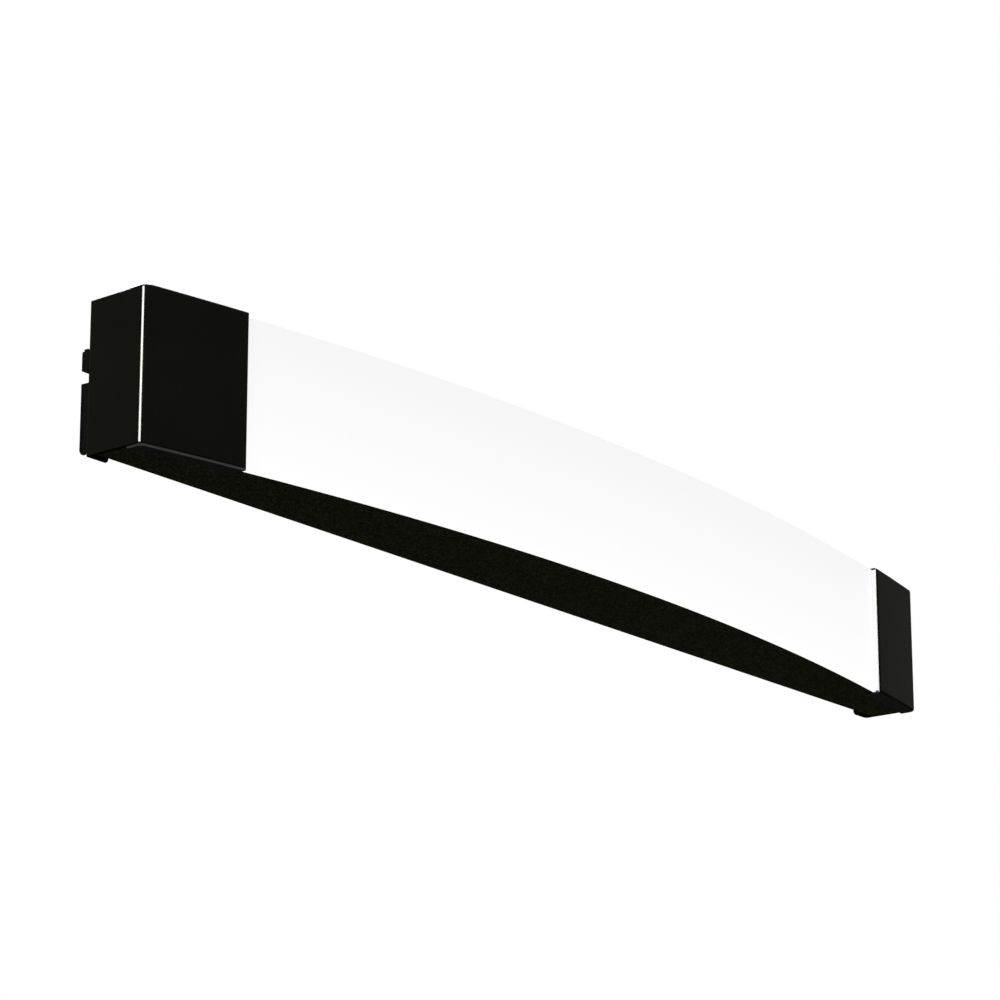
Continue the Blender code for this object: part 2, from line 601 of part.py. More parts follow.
def led_tray():
    """White hat-section tray that carries the LED boards and covers the driver."""
    half = TRAY_HEIGHT / 2
    foot_y = TRAY_BACK_Y - TRAY_SHEET
    path = [
        (foot_y, MIDDLE_Z - half - TRAY_FOOT),
        (foot_y, MIDDLE_Z - half),
        (TRAY_FRONT_Y, MIDDLE_Z - half),
        (TRAY_FRONT_Y, MIDDLE_Z + half),
        (foot_y, MIDDLE_Z + half),
        (foot_y, MIDDLE_Z + half + TRAY_FOOT),
    ]
    bm = bmesh.new()
    prism(bm, "X", folded(path, -TRAY_SHEET), -TRAY_LENGTH / 2, TRAY_LENGTH / 2)
    tray = place("led_tray", bm, "reflector_white")
    bm = bmesh.new()
    for spot in tray_screw_places():
        prism(bm, "Y", circle(spot, CLEARANCE_HOLE), TRAY_BACK_Y - 3 * mm, TRAY_BACK_Y + 2 * mm)
    through = (TRAY_FRONT_Y - 1 * mm, TRAY_FRONT_Y + 3 * mm)
    for spot in board_screw_places():
        prism(bm, "Y", circle(spot, CLEARANCE_HOLE), *through)
    prism(bm, "Y", circle((LEAD_HOLE_X, LEAD_HOLE_Z), LEAD_HOLE_RADIUS), *through)
    combine(tray, "DIFFERENCE", "holes", bm)
    screws("tray_screw", tray_screw_places(), foot_y - FIT, 1, SHORT_SCREW)


def board_screw_places():
    return [(x, MIDDLE_Z - BOARD_HEIGHT / 2 + FIXING_INSET) for x in BOARD_CENTRES]


def led_boards():
    """Three boards in a row, each with its soldered LEDs and the sockets of its leads."""
    for i, word in enumerate(("left", "centre", "right")):
        centre = BOARD_CENTRES[i]
        bm = bmesh.new()
        low = (centre - BOARD_LENGTH / 2, BOARD_FRONT_Y, MIDDLE_Z - BOARD_HEIGHT / 2)
        high = (centre + BOARD_LENGTH / 2, BOARD_BACK_Y, MIDDLE_Z + BOARD_HEIGHT / 2)
        box(bm, low, high)
        board = place(f"{word}_led_board", bm, "board_white")

        bm = bmesh.new()
        sunk = BOARD_FRONT_Y + 0.2 * mm
        for k in range(LED_COUNT):
            x = centre + (k - (LED_COUNT - 1) / 2) * LED_PITCH
            low = (x - LED_SIZE.x / 2, BOARD_FRONT_Y - LED_SIZE.y, MIDDLE_Z - LED_SIZE.z / 2)
            box(bm, low, (x + LED_SIZE.x / 2, sunk, MIDDLE_Z + LED_SIZE.z / 2))
        ends = [centre + side * (BOARD_LENGTH / 2 - BOARD_END_INSET) for side in (-1, 1)]
        sockets = {"left": [LEAD_HOLE_X, ends[1]], "centre": ends, "right": ends[:1]}[word]
        for x in sockets:
            low = (x - SOCKET_LENGTH / 2, BOARD_FRONT_Y - SOCKET_DEPTH, SOCKET_TOP - 4.5 * mm)
            box(bm, low, (x + SOCKET_LENGTH / 2, sunk, SOCKET_TOP))
        combine(board, "UNION", "soldered", bm)

        bm = bmesh.new()
        prism(bm, "Y", circle(board_screw_places()[i], CLEARANCE_HOLE), BOARD_FRONT_Y - CUT_PAST,
            BOARD_BACK_Y + CUT_PAST)
        combine(board, "DIFFERENCE", "hole", bm)
    screws("board_screw", board_screw_places(), BOARD_FRONT_Y - FIT, 1, SHORT_SCREW)


def wire(name, route, finish, smooth=5):
    """A round lead along a smooth curve through the route's points."""
    curve = bpy.data.curves.new(name, "CURVE")
    curve.dimensions = "3D"
    curve.bevel_depth = LEAD_RADIUS
    curve.bevel_resolution = 2
    curve.use_fill_caps = True
    curve.materials.append(material(finish))
    route = [Vector(p) for p in route]
    full = [route[0] * 2 - route[1], *route, route[-1] * 2 - route[-2]]
    line = []
    for a, b, c, d in zip(full, full[1:], full[2:], full[3:]):
        for k in range(smooth):
            t = k / smooth
            square = (2 * a - 5 * b + 4 * c - d) * t**2
            cube = (3 * b - a - 3 * c + d) * t**3
            line.append((2 * b + (c - a) * t + square + cube) / 2)
    line.append(route[-1])
    spline = curve.splines.new("POLY")
    spline.points.add(len(line) - 1)
    for point, spot in zip(spline.points, line):
        point.co = (*spot, 1.0)
    made = bpy.data.objects.new(name, curve)
    bpy.context.scene.collection.objects.link(made)


def board_jumpers():
    """Flat two-way jumpers that join each board to the next."""
    low, high = SOCKET_TOP - 4 * mm, SOCKET_TOP - 0.5 * mm
    y = BOARD_FRONT_Y - SOCKET_DEPTH / 2
    for word, left, right in zip(("left", "right"), BOARD_CENTRES, BOARD_CENTRES[1:]):
        start = left + BOARD_LENGTH / 2 - BOARD_END_INSET + SOCKET_LENGTH / 2 + FIT
        end = right - BOARD_LENGTH / 2 + BOARD_END_INSET - SOCKET_LENGTH / 2 - FIT
        path = [(start, y), ((2 * start + end) / 3, y - 1 * mm), ((start + 2 * end) / 3,
            y - 1 * mm), (end, y)]
        bm = bmesh.new()
        prism(bm, "Z", folded(path, 1.0 * mm), low, high)
        place(f"{word}_board_jumper", bm, "lead_red")


# ---------------------------------------------------------------- driver, terminals and leads


def driver():
    """Constant-current driver: case, lid, and the circuit board with its parts soldered on."""
    x0, x1 = DRIVER_X - DRIVER_LENGTH / 2, DRIVER_X + DRIVER_LENGTH / 2
    z0, z1 = MIDDLE_Z - DRIVER_HEIGHT / 2, MIDDLE_Z + DRIVER_HEIGHT / 2
    back = TRAY_BACK_Y
    rim = back - DRIVER_DEPTH
    bm = bmesh.new()
    box(bm, (x0, rim, z0), (x1, back, z1))
    case = place("driver_case", bm, "driver_white")
    bm = bmesh.new()
    for side in (-1, 1):
        low, high = sorted((DRIVER_X + side * (DRIVER_LENGTH / 2 - 1 * mm),
            DRIVER_X + side * (DRIVER_LENGTH / 2 + DRIVER_EAR_LENGTH)))
        box(bm, (low, back - DRIVER_EAR, MIDDLE_Z - DRIVER_EAR_HALF_HEIGHT),
            (high, back, MIDDLE_Z + DRIVER_EAR_HALF_HEIGHT))
    combine(case, "UNION", "ears", bm)
    bm = bmesh.new()
    wall = DRIVER_WALL
    box(bm, (x0 + wall, rim - 1 * mm, z0 + wall), (x1 - wall, back - wall, z1 - wall))
    combine(case, "DIFFERENCE", "hollow", bm)
    bm = bmesh.new()
    for spot in driver_screw_places():
        prism(bm, "Y", circle(spot, CLEARANCE_HOLE), back - 4 * mm, back + 1 * mm)
    for x in (x0, x1):
        for z in lead_heights():
            prism(bm, "X", circle((rim + DRIVER_LEAD_DEPTH, z), LEAD_RADIUS + LEAD_PLAY),
                x - 3 * mm, x + 3 * mm)
    combine(case, "DIFFERENCE", "holes", bm)

    bm = bmesh.new()
    box(bm, (x0, rim - FIT - DRIVER_LID_THICKNESS, z0), (x1, rim - FIT, z1))
    lid = place("driver_lid", bm, "driver_white")
    bm = bmesh.new()
    lip = wall + FIT
    box(bm, (x0 + lip, rim - FIT - 0.4 * mm, z0 + lip), (x1 - lip, rim + 1.5 * mm, z1 - lip))
    combine(lid, "UNION", "lip", bm)

    board_y = back - wall - DRIVER_BOARD_GAP
    top = board_y - DRIVER_BOARD_THICKNESS
    bm = bmesh.new()
    box(bm, (x0 + lip + DRIVER_BOARD_INSET, top, z0 + lip), (x1 - lip - DRIVER_BOARD_INSET, board_y, z1 - lip))
    board = place("driver_board", bm, "driver_green")
    bm = bmesh.new()
    sunk = top + FIT
    parts_y = top - DRIVER_PARTS_HEIGHT
    box(bm, (DRIVER_X + TRANSFORMER_LOW_X, parts_y, MIDDLE_Z - TRANSFORMER_HALF_HEIGHT),
        (DRIVER_X + TRANSFORMER_HIGH_X, sunk, MIDDLE_Z + TRANSFORMER_HALF_HEIGHT))
    for dx in CAPACITORS_X:
        spot = (DRIVER_X + dx, MIDDLE_Z + CAPACITOR_LIFT)
        turned(bm, "Y", spot, [(sunk, CAPACITOR_RADIUS), (parts_y, CAPACITOR_RADIUS)], 12)
    combine(board, "UNION", "soldered", bm)
    screws("driver_screw", driver_screw_places(), back - DRIVER_EAR - FIT, 1, DRIVER_SCREW)


def lead_heights():
    return (MIDDLE_Z - 4 * mm, MIDDLE_Z + 4 * mm)


def terminal_block():
    """Three-way screw terminal on the back wall, beside the wiring window."""
    back = TRAY_BACK_Y
    front = back - TERMINAL_SIZE.y
    half = TERMINAL_SIZE.z / 2
    shoulder = back - TERMINAL_SHOULDER
    corners = [(back, -half), (shoulder, -half), (shoulder, -half + TERMINAL_STEP), (front, -half + TERMINAL_STEP)]
    outline = corners + [(y, -z) for y, z in reversed(corners)]
    bm = bmesh.new()
    prism(bm, "X", outline, TERMINAL_X - TERMINAL_SIZE.x / 2, TERMINAL_X + TERMINAL_SIZE.x / 2)
    block = place("terminal_block", bm, "terminal_grey")
    bm = bmesh.new()
    barrel_y = back - TERMINAL_BARREL
    for x in terminal_ways():
        prism(bm, "Z", circle((x, barrel_y), WAY_RADIUS + FIT), -half - CUT_PAST, half + CUT_PAST)
    combine(block, "DIFFERENCE", "ways", bm)
    bm = bmesh.new()
    for x in terminal_ways():
        for z in TERMINAL_SCREW_Z:
            prism(bm, "Y", circle((x, z), WAY_RADIUS + FIT), front - CUT_PAST, barrel_y)
    prism(bm, "Y", circle((TERMINAL_X + TERMINAL_FIXING_X, 0), CLEARANCE_HOLE), front - CUT_PAST, back + CUT_PAST)
    combine(block, "DIFFERENCE", "screw_holes", bm)

    for x, word in zip(terminal_ways(), ("live", "neutral", "earth")):
        bm = bmesh.new()
        turned(bm, "Z", (x, barrel_y), [(-half + 4 * mm, WAY_RADIUS), (half - 4 * mm, WAY_RADIUS)], 12)
        way = place(f"{word}_terminal_way", bm, "brass")
        for label, z in zip(("low", "high"), TERMINAL_SCREW_Z):
            bm = bmesh.new()
            turned(bm, "Y", (x, z), [(front + 1 * mm, 1.7 * mm), (barrel_y, 1.7 * mm)])
            combine(way, "UNION", f"{label}_screw", bm)
        bm = bmesh.new()
        turned(bm, "Z", (x, barrel_y), [(-half, LEAD_RADIUS + FIT), (-1 * mm, LEAD_RADIUS + FIT)])
        turned(bm, "Z", (x, barrel_y), [(1 * mm, LEAD_RADIUS + FIT), (half, LEAD_RADIUS + FIT)])
        combine(way, "DIFFERENCE", "bores", bm)
    bm = bmesh.new()
    pan_screw(bm, "Y", (TERMINAL_X + TERMINAL_FIXING_X, 0), front - FIT, 1, SCREW_RADIUS,
        TERMINAL_SIZE.y + 3 * mm, SCREW_HEAD_RADIUS, SCREW_HEAD_HEIGHT)
    place("terminal_fixing_screw", bm, "zinc")


def terminal_ways():
    return [TERMINAL_X + dx for dx in TERMINAL_WAYS_X]


def wiring_cover():
    """Cover over the wiring window, with the rubber grommet that the supply cable comes through."""
    outline = rectangle((CABLE_X, 0), WINDOW_LENGTH / 2 + COVER_END_MARGIN, WINDOW_HEIGHT / 2 + COVER_SIDE_MARGIN)
    cover_y = BRACKET_Y + CHASSIS_SHEET
    bm = bmesh.new()
    prism(bm, "Y", rounded(outline, COVER_CORNER, closed=True), BRACKET_Y, cover_y)
    cover = place("wiring_cover", bm, "chassis_black")
    bm = bmesh.new()
    for spot in cover_screw_places():
        prism(bm, "Y", circle(spot, CLEARANCE_HOLE), BRACKET_Y - 2 * mm, cover_y + 2 * mm)
    prism(bm, "Y", circle((CABLE_X, 0), CABLE_HOLE_RADIUS, 16), BRACKET_Y - 2 * mm, cover_y + 2 * mm)
    combine(cover, "DIFFERENCE", "holes", bm)
    screws("cover_screw", cover_screw_places(), cover_y + FIT, -1, COVER_SCREW)
    bm = bmesh.new()
    neck, lip = CABLE_HOLE_RADIUS - FIT, CABLE_HOLE_RADIUS + GROMMET_LIP
    profile = [
        (cover_y + GROMMET_LIP_THICKNESS, lip - GROMMET_CHAMFER), (cover_y + FIT, lip), (cover_y + FIT, neck),
        (BRACKET_Y - FIT, neck), (BRACKET_Y - FIT, lip), (BRACKET_Y - GROMMET_LIP_THICKNESS, lip - GROMMET_CHAMFER),
    ]
    turned(bm, "Y", (CABLE_X, 0), profile, 16)
    grommet = place("cable_grommet", bm, "rubber")
    bm = bmesh.new()
    turned(bm, "Y", (CABLE_X, 0), [(cover_y + OVERSHOOT, GROMMET_BORE),
        (BRACKET_Y - OVERSHOOT, GROMMET_BORE)], 16)
    combine(grommet, "DIFFERENCE", "bore", bm)


def body_earth_post():
    """Brass earth post, pressed into the chassis from behind, with the nut that clamps the earth lead."""
    bm = bmesh.new()
    seat = CHASSIS_INNER_Y - FIT
    profile = [
        (CHASSIS_BACK_Y + 1.5 * mm, 3 * mm),
        (CHASSIS_BACK_Y + FIT, 3 * mm),
        (CHASSIS_BACK_Y + FIT, EARTH_POST_RADIUS),
        (seat - 8 * mm, EARTH_POST_RADIUS),
    ]
    turned(bm, "Y", (EARTH_BODY_X, EARTH_Z), profile)
    post = place("body_earth_post", bm, "brass")
    bm = bmesh.new()
    prism(bm, "Y", circle((EARTH_BODY_X, EARTH_Z), EARTH_NUT_RADIUS, 6), seat - EARTH_NUT_TOP, seat - EARTH_NUT_LIFT)
    combine(post, "UNION", "nut", bm)


def leads():
    """Leads from the terminal block to the driver and the earth post, and from the driver to the boards."""
    back = TRAY_BACK_Y
    y_case = back - DRIVER_DEPTH + DRIVER_LEAD_DEPTH
    low_z, high_z = lead_heights()
    case_right = DRIVER_X + DRIVER_LENGTH / 2 - DRIVER_WALL - 2 * mm
    case_left = DRIVER_X - DRIVER_LENGTH / 2 + DRIVER_WALL + 2 * mm
    y_way = back - TERMINAL_BARREL
    way_z = TERMINAL_SIZE.z / 2 - 2 * mm
    live, neutral, earth = terminal_ways()
    wire("live_lead", [
        (case_right, y_case, high_z), (case_right + 14 * mm, y_case, high_z),
        (-20 * mm, y_case, high_z + 6 * mm),
        (14 * mm, y_case + 4 * mm, high_z + 10 * mm), (live - 1 * mm, y_way, way_z + 12 * mm),
        (live, y_way, way_z + 6 * mm), (live, y_way, way_z),
    ], "lead_brown")
    wire("neutral_lead", [
        (case_right, y_case, low_z), (case_right + 14 * mm, y_case, low_z),
        (-20 * mm, y_case - 1 * mm, low_z + 4 * mm),
        (18 * mm, y_case - 4 * mm, high_z + 9 * mm), (neutral - 2 * mm, y_way - 4 * mm, way_z + 16 * mm),
        (neutral, y_way, way_z + 7 * mm), (neutral, y_way, way_z),
    ], "lead_blue")
    post_end = (EARTH_BODY_X, back - 0.9 * mm, EARTH_Z + 5 * mm)
    wire("earth_lead", [
        (earth, y_way, way_z), (earth, y_way, way_z + 7 * mm), (earth + 8 * mm, y_way, way_z + 14 * mm),
        (EARTH_BODY_X - 4 * mm, back - 3 * mm, way_z + 10 * mm),
        (EARTH_BODY_X, back - 1.4 * mm, EARTH_Z + 9 * mm), post_end,
    ], "lead_green")
    top = BOARD_FRONT_Y - FIT
    outlets = (
        ("plus_lead", high_z, LEAD_HOLE_X + 1.6 * mm, 5 * mm, "lead_red"),
        ("minus_lead", low_z, LEAD_HOLE_X - 1.6 * mm, 3 * mm, "lead_black"),
    )
    for name, z, hole_x, swing, finish in outlets:
        wire(name, [
            (case_left, y_case, z),
            (case_left - 9 * mm, y_case, z),
            (hole_x + swing, y_case, (z + LEAD_HOLE_Z) / 2),
            (hole_x, y_case - 5 * mm, LEAD_HOLE_Z),
            (hole_x, TRAY_FRONT_Y - 1.5 * mm, LEAD_HOLE_Z),
            (hole_x, top - 2.4 * mm, LEAD_HOLE_Z - 4 * mm),
            (hole_x, top - 1.8 * mm, SOCKET_TOP + FIT),
        ], finish)


# ---------------------------------------------------------------- diffuser and end caps


def diffuser():
    """Opal sheet sprung into the bow between the end caps, with ribs that fit inside the chassis."""
    outer = bow_points(-DIFFUSER_END_X, DIFFUSER_END_X, DIFFUSER_SETBACK, BOW_STEPS)
    inner = bow_points(DIFFUSER_END_X, -DIFFUSER_END_X, DIFFUSER_BACK, BOW_STEPS)
    bm = bmesh.new()
    prism(bm, "Z", outer + inner, CHASSIS_LOW, CHASSIS_HIGH)
    sheet = place("diffuser", bm, "opal")
    rib_end = CAP_INNER_X - 4 * mm
    front = bow_points(-rib_end, rib_end, DIFFUSER_BACK - DIFFUSER_SHEET / 2, BOW_STEPS)
    rear = bow_points(rib_end, -rib_end, DIFFUSER_BACK + DIFFUSER_RIB.x, BOW_STEPS)
    inside = CHASSIS_SHEET + FIT
    heights = {
        "lower_rib": (CHASSIS_LOW + inside, CHASSIS_LOW + inside + DIFFUSER_RIB.y),
        "upper_rib": (CHASSIS_HIGH - inside - DIFFUSER_RIB.y, CHASSIS_HIGH - inside),
    }
    for name, (low, high) in heights.items():
        bm = bmesh.new()
        prism(bm, "Z", front + rear, low, high)
        combine(sheet, "UNION", name, bm)


def cap_plan(side, inset, inner_x, back_y, arc_steps=4):
    """Plan outline of an end cap, moved in from its faces by inset."""
    outer_x = LENGTH / 2 - inset
    face = bow_points(inner_x, outer_x, inset, arc_steps)
    points = [*face, (outer_x, back_y), (inner_x, back_y)]
    radii = [0.0] * len(points)
    radii[0] = max(CAP_EDGE_RADIUS - inset, 0.3 * mm)
    radii[arc_steps] = max(CAP_CORNER_RADIUS - inset, 0.5 * mm)
    radii[arc_steps + 1] = max(CAP_BACK_RADIUS - inset, 0.3 * mm)
    return [(side * p.x, p.y) for p in rounded(points, radii, steps=4, closed=True)]


def cap_rings(side, inset, radius, inner_x, back_y):
    """Rings that round a cap's top and bottom edges by radius, inside the faces by inset."""
    made = []
    for low in (True, False):
        steps = range(4) if low else range(3, -1, -1)
        for k in steps:
            turn = math.radians(30 * k)
            in_plan = inset + radius * (1 - math.sin(turn))
            in_height = inset + radius * (1 - math.cos(turn))
            z = FOOT_Z + in_height if low else HEAD_Z - in_height
            made.append([(x, y, z) for x, y in cap_plan(side, in_plan, inner_x, back_y)])
    return made


def end_caps():
    """Pressed caps: bowed front, side and back return, with flanges over the top and bottom."""
    for side, word in ((-1, "left"), (1, "right")):
        bm = bmesh.new()
        stack(bm, cap_rings(side, 0, CAP_EDGE_RADIUS, CAP_INNER_X, CAP_BACK_Y))
        cap = place(f"{word}_end_cap", bm, "cap_black")

        bm = bmesh.new()
        inner_radius = CAP_EDGE_RADIUS - CAP_SHEET
        stack(bm, cap_rings(side, CAP_SHEET, inner_radius, CAP_INNER_X + CAP_SHEET,
            CAP_BACK_Y - CAP_SHEET))
        combine(cap, "DIFFERENCE", "hollow", bm)

        bm = bmesh.new()
        mouth_x = CAP_INNER_X + CAP_EDGE_RADIUS + 1 * mm
        plan = bow_points(CAP_INNER_X - OVERSHOOT, mouth_x, DIFFUSER_SETBACK - FIT, 3)
        plan = [(side * x, y) for x, y in plan + [(mouth_x, OVERSHOOT),
            (CAP_INNER_X - OVERSHOOT, OVERSHOOT)]]
        prism(bm, "Z", plan, FOOT_Z + CAP_SHEET, HEAD_Z - CAP_SHEET)
        combine(cap, "DIFFERENCE", "mouth", bm)

        bm = bmesh.new()
        edge, beyond = LENGTH / 2 - CAP_RETURN, LENGTH / 2 - CAP_RETURN + 2 * CAP_RETURN_CORNER
        low, high = FOOT_Z + CAP_SIDE_DROP, HEAD_Z - CAP_SIDE_DROP
        corners = [
            (CAP_INNER_X - OVERSHOOT, FOOT_Z - OVERSHOOT), (beyond, FOOT_Z - OVERSHOOT),
            (beyond, low), (edge, low),
            (edge, high), (beyond, high), (beyond, HEAD_Z + OVERSHOOT),
            (CAP_INNER_X - OVERSHOOT, HEAD_Z + OVERSHOOT),
        ]
        radii = [CAP_RETURN_CORNER if x == edge else 0 for x, z in corners]
        outline = [(side * p.x, p.y) for p in rounded(corners, radii, closed=True)]
        prism(bm, "Y", outline, CAP_BACK_Y - CAP_SHEET - 1 * mm, OVERSHOOT)
        combine(cap, "DIFFERENCE", "open_back", bm)

        bm = bmesh.new()
        plan = bow_points(CAP_INNER_X - OVERSHOOT, LENGTH / 2 + OVERSHOOT, CAP_FLANGE, 5)
        plan += [(LENGTH / 2 + OVERSHOOT, OVERSHOOT), (CAP_INNER_X - OVERSHOOT, OVERSHOOT)]
        plan = [(side * x, y) for x, y in plan]
        prism(bm, "Z", plan, FOOT_Z - OVERSHOOT, FOOT_Z + CAP_SIDE_DROP)
        prism(bm, "Z", plan, HEAD_Z - CAP_SIDE_DROP, HEAD_Z + OVERSHOOT)
        combine(cap, "DIFFERENCE", "relief", bm)

        bm = bmesh.new()
        for x, z in cap_screw_places(side):
            reach = CAP_RETURN - CAP_SCREW_INSET + CAP_SLOT_RADIUS + OVERSHOOT
            centre = x - side * (reach / 2 - CAP_SLOT_RADIUS)
            prism(bm, "Y", slot((centre, z), CAP_SLOT_RADIUS, reach), CAP_BACK_Y - 2 * mm,
                CAP_BACK_Y + 2 * mm)
        combine(cap, "DIFFERENCE", "screw_slots", bm)

        for label, spot in zip(("lower", "upper"), cap_screw_places(side)):
            bm = bmesh.new()
            pan_screw(bm, "Y", spot, CAP_BACK_Y + FIT, -1, CAP_SCREW_RADIUS,
                CAP_SCREW_LENGTH, CAP_SCREW_HEAD_RADIUS, SCREW_HEAD_HEIGHT)
            place(f"{word}_{label}_cap_screw", bm, "zinc")

        bm = bmesh.new()
        pad_from, pad_to = CAP_INNER_X + PAD_END_INSET, DIFFUSER_END_X - CUT_PAST
        near = bow_points(pad_from, pad_to, CAP_SHEET + FIT, 2)
        far = bow_points(pad_to, pad_from, DIFFUSER_SETBACK - FIT, 2)
        plan = [(side * x, y) for x, y in near + far]
        prism(bm, "Z", plan, FOOT_Z + PAD_INSET, HEAD_Z - PAD_INSET)
        place(f"{word}_cap_pad", bm, "foam")


def main():
    clear_scene()
    wall_plate()
    hook_rail()
    end_flanges()
    lock_tabs()
    plate_earth_post()
    lock_screws()
    chassis()
    hangers()
    lock_lugs()
    cap_brackets()
    end_plates()
    led_tray()
    led_boards()
    board_jumpers()
    driver()
    terminal_block()
    wiring_cover()
    body_earth_post()
    leads()
    diffuser()
    end_caps()


main()
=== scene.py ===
"""Looks of a bow-fronted vanity light bar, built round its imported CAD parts.

Metres. X runs along the bar, the wall is the plane Y = 0 with the room on the -Y side, and Z is up.
"""

import json
import math

import bmesh
import bpy
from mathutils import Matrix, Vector


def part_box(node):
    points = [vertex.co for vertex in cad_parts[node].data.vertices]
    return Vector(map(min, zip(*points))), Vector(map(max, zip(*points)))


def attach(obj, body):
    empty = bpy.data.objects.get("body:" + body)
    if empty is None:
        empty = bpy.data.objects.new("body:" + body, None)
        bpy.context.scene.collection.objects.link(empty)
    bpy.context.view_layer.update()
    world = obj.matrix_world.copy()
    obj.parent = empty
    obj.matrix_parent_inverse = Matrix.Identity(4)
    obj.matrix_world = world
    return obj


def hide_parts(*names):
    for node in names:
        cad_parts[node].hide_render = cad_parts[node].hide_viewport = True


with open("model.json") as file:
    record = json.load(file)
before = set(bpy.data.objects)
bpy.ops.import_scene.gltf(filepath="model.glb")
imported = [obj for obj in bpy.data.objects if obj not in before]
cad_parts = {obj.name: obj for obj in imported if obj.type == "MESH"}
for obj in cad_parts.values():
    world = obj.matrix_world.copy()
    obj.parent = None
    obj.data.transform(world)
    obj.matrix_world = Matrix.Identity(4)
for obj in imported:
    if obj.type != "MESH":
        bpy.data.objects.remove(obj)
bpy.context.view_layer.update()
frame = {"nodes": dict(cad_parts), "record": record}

mm = 0.001

# Shape of the bow, which every front follows
CAP_LOW, CAP_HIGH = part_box("right_end_cap")
HALF_LENGTH = CAP_HIGH.x
FOOT, HEAD = CAP_LOW.z, CAP_HIGH.z
DIFFUSER_LOW, DIFFUSER_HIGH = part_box("diffuser")
BOW = 41 * mm
BOW_RADIUS = (HALF_LENGTH**2 + BOW**2) / (2 * BOW)
SETBACK = 4.5 * mm  # the diffuser's face, behind the faces of the end caps
BOW_CENTRE = DIFFUSER_LOW.y - SETBACK + BOW_RADIUS
GAP = 0.3 * mm

# End caps
CAP_SHEET = 0.8 * mm
CAP_CORNER = 4.0 * mm
CAP_EDGE = 2.0 * mm
CAP_BACK_CORNER = 2.3 * mm
CAP_FLANGE = 11.5 * mm
CAP_SIDE_DROP = 1.5 * mm
CAP_RETURN = 17.5 * mm
CAP_COLUMNS = 12
CAP_BREAK = 0.12 * mm
RETURN_CORNER = 2.5 * mm
RETURN_CORNER_BAND = 3.0 * mm  # how far from the cap's top and bottom those corners are looked for
CAP_SCREW_INSET = 9.0 * mm  # screw, from the cap's outer face
CAP_SLOT_HALF, CAP_SLOT_CORNER = 2.2 * mm, 2.15 * mm
CAP_SLOT_LENGTH = 20.0 * mm
PAINTED_GLOW_MARGIN = 2.0 * mm  # black left at each end of the mouth's painted glow, a painted reflection of the diffuser's light

# Folded body
CHASSIS_SHEET = 1.0 * mm
CHASSIS_BEND = 1.5 * mm
CHASSIS_BREAK = 0.15 * mm
WINDOW_MARGINS = (10.0 * mm, 4.0 * mm)  # how far the wiring cover laps over its window, sideways and upwards
WINDOW_CORNER = 4.0 * mm
FIXING_HOLE, FIXING_HOLE_CORNER = 2.0 * mm, 1.98 * mm  # the hole's half width and its corners' radius

# Fixings that go through the back of the folded body
BODY_FIXINGS = (
    "tray_screw_1", "tray_screw_2", "tray_screw_3", "tray_screw_4", "left_driver_screw", "right_driver_screw",
    "left_cover_screw", "right_cover_screw", "terminal_fixing_screw", "body_earth_post",
)

# Diffuser
DIFFUSER_SHEET = 2.5 * mm
DIFFUSER_BREAK = 0.3 * mm
RIB_SHEET = 2.0 * mm
RIB_DEPTH = 5.0 * mm
RIB_END = 18.0 * mm  # where the ribs stop, short of the diffuser's ends

# LED boards
BOARD_BREAK = 0.1 * mm
LED_FACE = 2.8 * mm  # an LED's face, behind the front of its board's sockets

# Modelling
BOW_COLUMNS = 64
FRONT_BAND = 1.0 * mm  # how far from the front or back a point still counts as on it
FACE_REACH = 0.1 * mm  # how far a face may have moved while its edges were broken
HAIR = 0.01 * mm
CUT_MARGIN = 4.0 * mm  # how far a cutter reaches past the sheet it cuts

# Studio: the surround is only dim light to everything but the camera
WORLD_DIM = {"From Min": -0.05, "From Max": 0.15, "To Min": 0.012, "To Max": 0.052}
FLOOR_SIZE, FLOOR_HEIGHT = 8.4, -3.0
SURROUND_SIZE, SURROUND_HEIGHT = 40, -3.004
FADE_FROM, FADE_TO = 1.2, 4.1  # distances from the middle of the floor
CAMERA_PLACE = (-1.5403, -1.1895, -0.558)
CAMERA_TURN = (103.4342, 0.0697, -51.7799)

# Pieces worked up from packed ones: body, edge radius, kind of piece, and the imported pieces
DRESSED = (
    ("wall_side", 0.25 * mm, "pressing", ("wall_plate", "hook_rail", "left_end_flange", "right_end_flange",
                                          "left_lock_tab", "right_lock_tab")),
    ("wall_side", 0.12 * mm, "turning", ("plate_earth_post",)),
    ("left_lock", 0.15 * mm, "turning", ("left_lock_screw",)),
    ("right_lock", 0.15 * mm, "turning", ("right_lock_screw",)),
    ("left_cap", 0.5 * mm, "block", ("left_cap_pad",)),
    ("right_cap", 0.5 * mm, "block", ("right_cap_pad",)),
    ("fixture", 0.2 * mm, "pressing", ("left_hanger", "right_hanger", "left_lock_lug", "right_lock_lug",
                                       "left_cap_bracket", "right_cap_bracket", "left_end_plate", "right_end_plate",
                                       "led_tray", "wiring_cover")),
    ("fixture", 0.3 * mm, "moulding", ("driver_case", "driver_lid", "terminal_block", "cable_grommet")),
    ("fixture", 0.12 * mm, "turning", ("tray_screw_1", "tray_screw_2", "tray_screw_3", "tray_screw_4",
                                       "left_cover_screw", "right_cover_screw", "left_driver_screw",
                                       "right_driver_screw", "terminal_fixing_screw", "left_lower_cap_screw",
                                       "left_upper_cap_screw", "right_lower_cap_screw", "right_upper_cap_screw",
                                       "body_earth_post")),
)


def bow_y(x, inset=0.0):
    """Depth of the bow at x, moved back towards the wall by inset."""
    return BOW_CENTRE - math.sqrt((BOW_RADIUS - inset) ** 2 - x**2)


# ---------------------------------------------------------------- modelling


def only(piece):
    bpy.ops.object.select_all(action="DESELECT")
    piece.select_set(True)
    bpy.context.view_layer.objects.active = piece


def edit(piece):
    only(piece)
    bpy.ops.object.mode_set(mode="EDIT")
    bpy.ops.mesh.select_all(action="DESELECT")


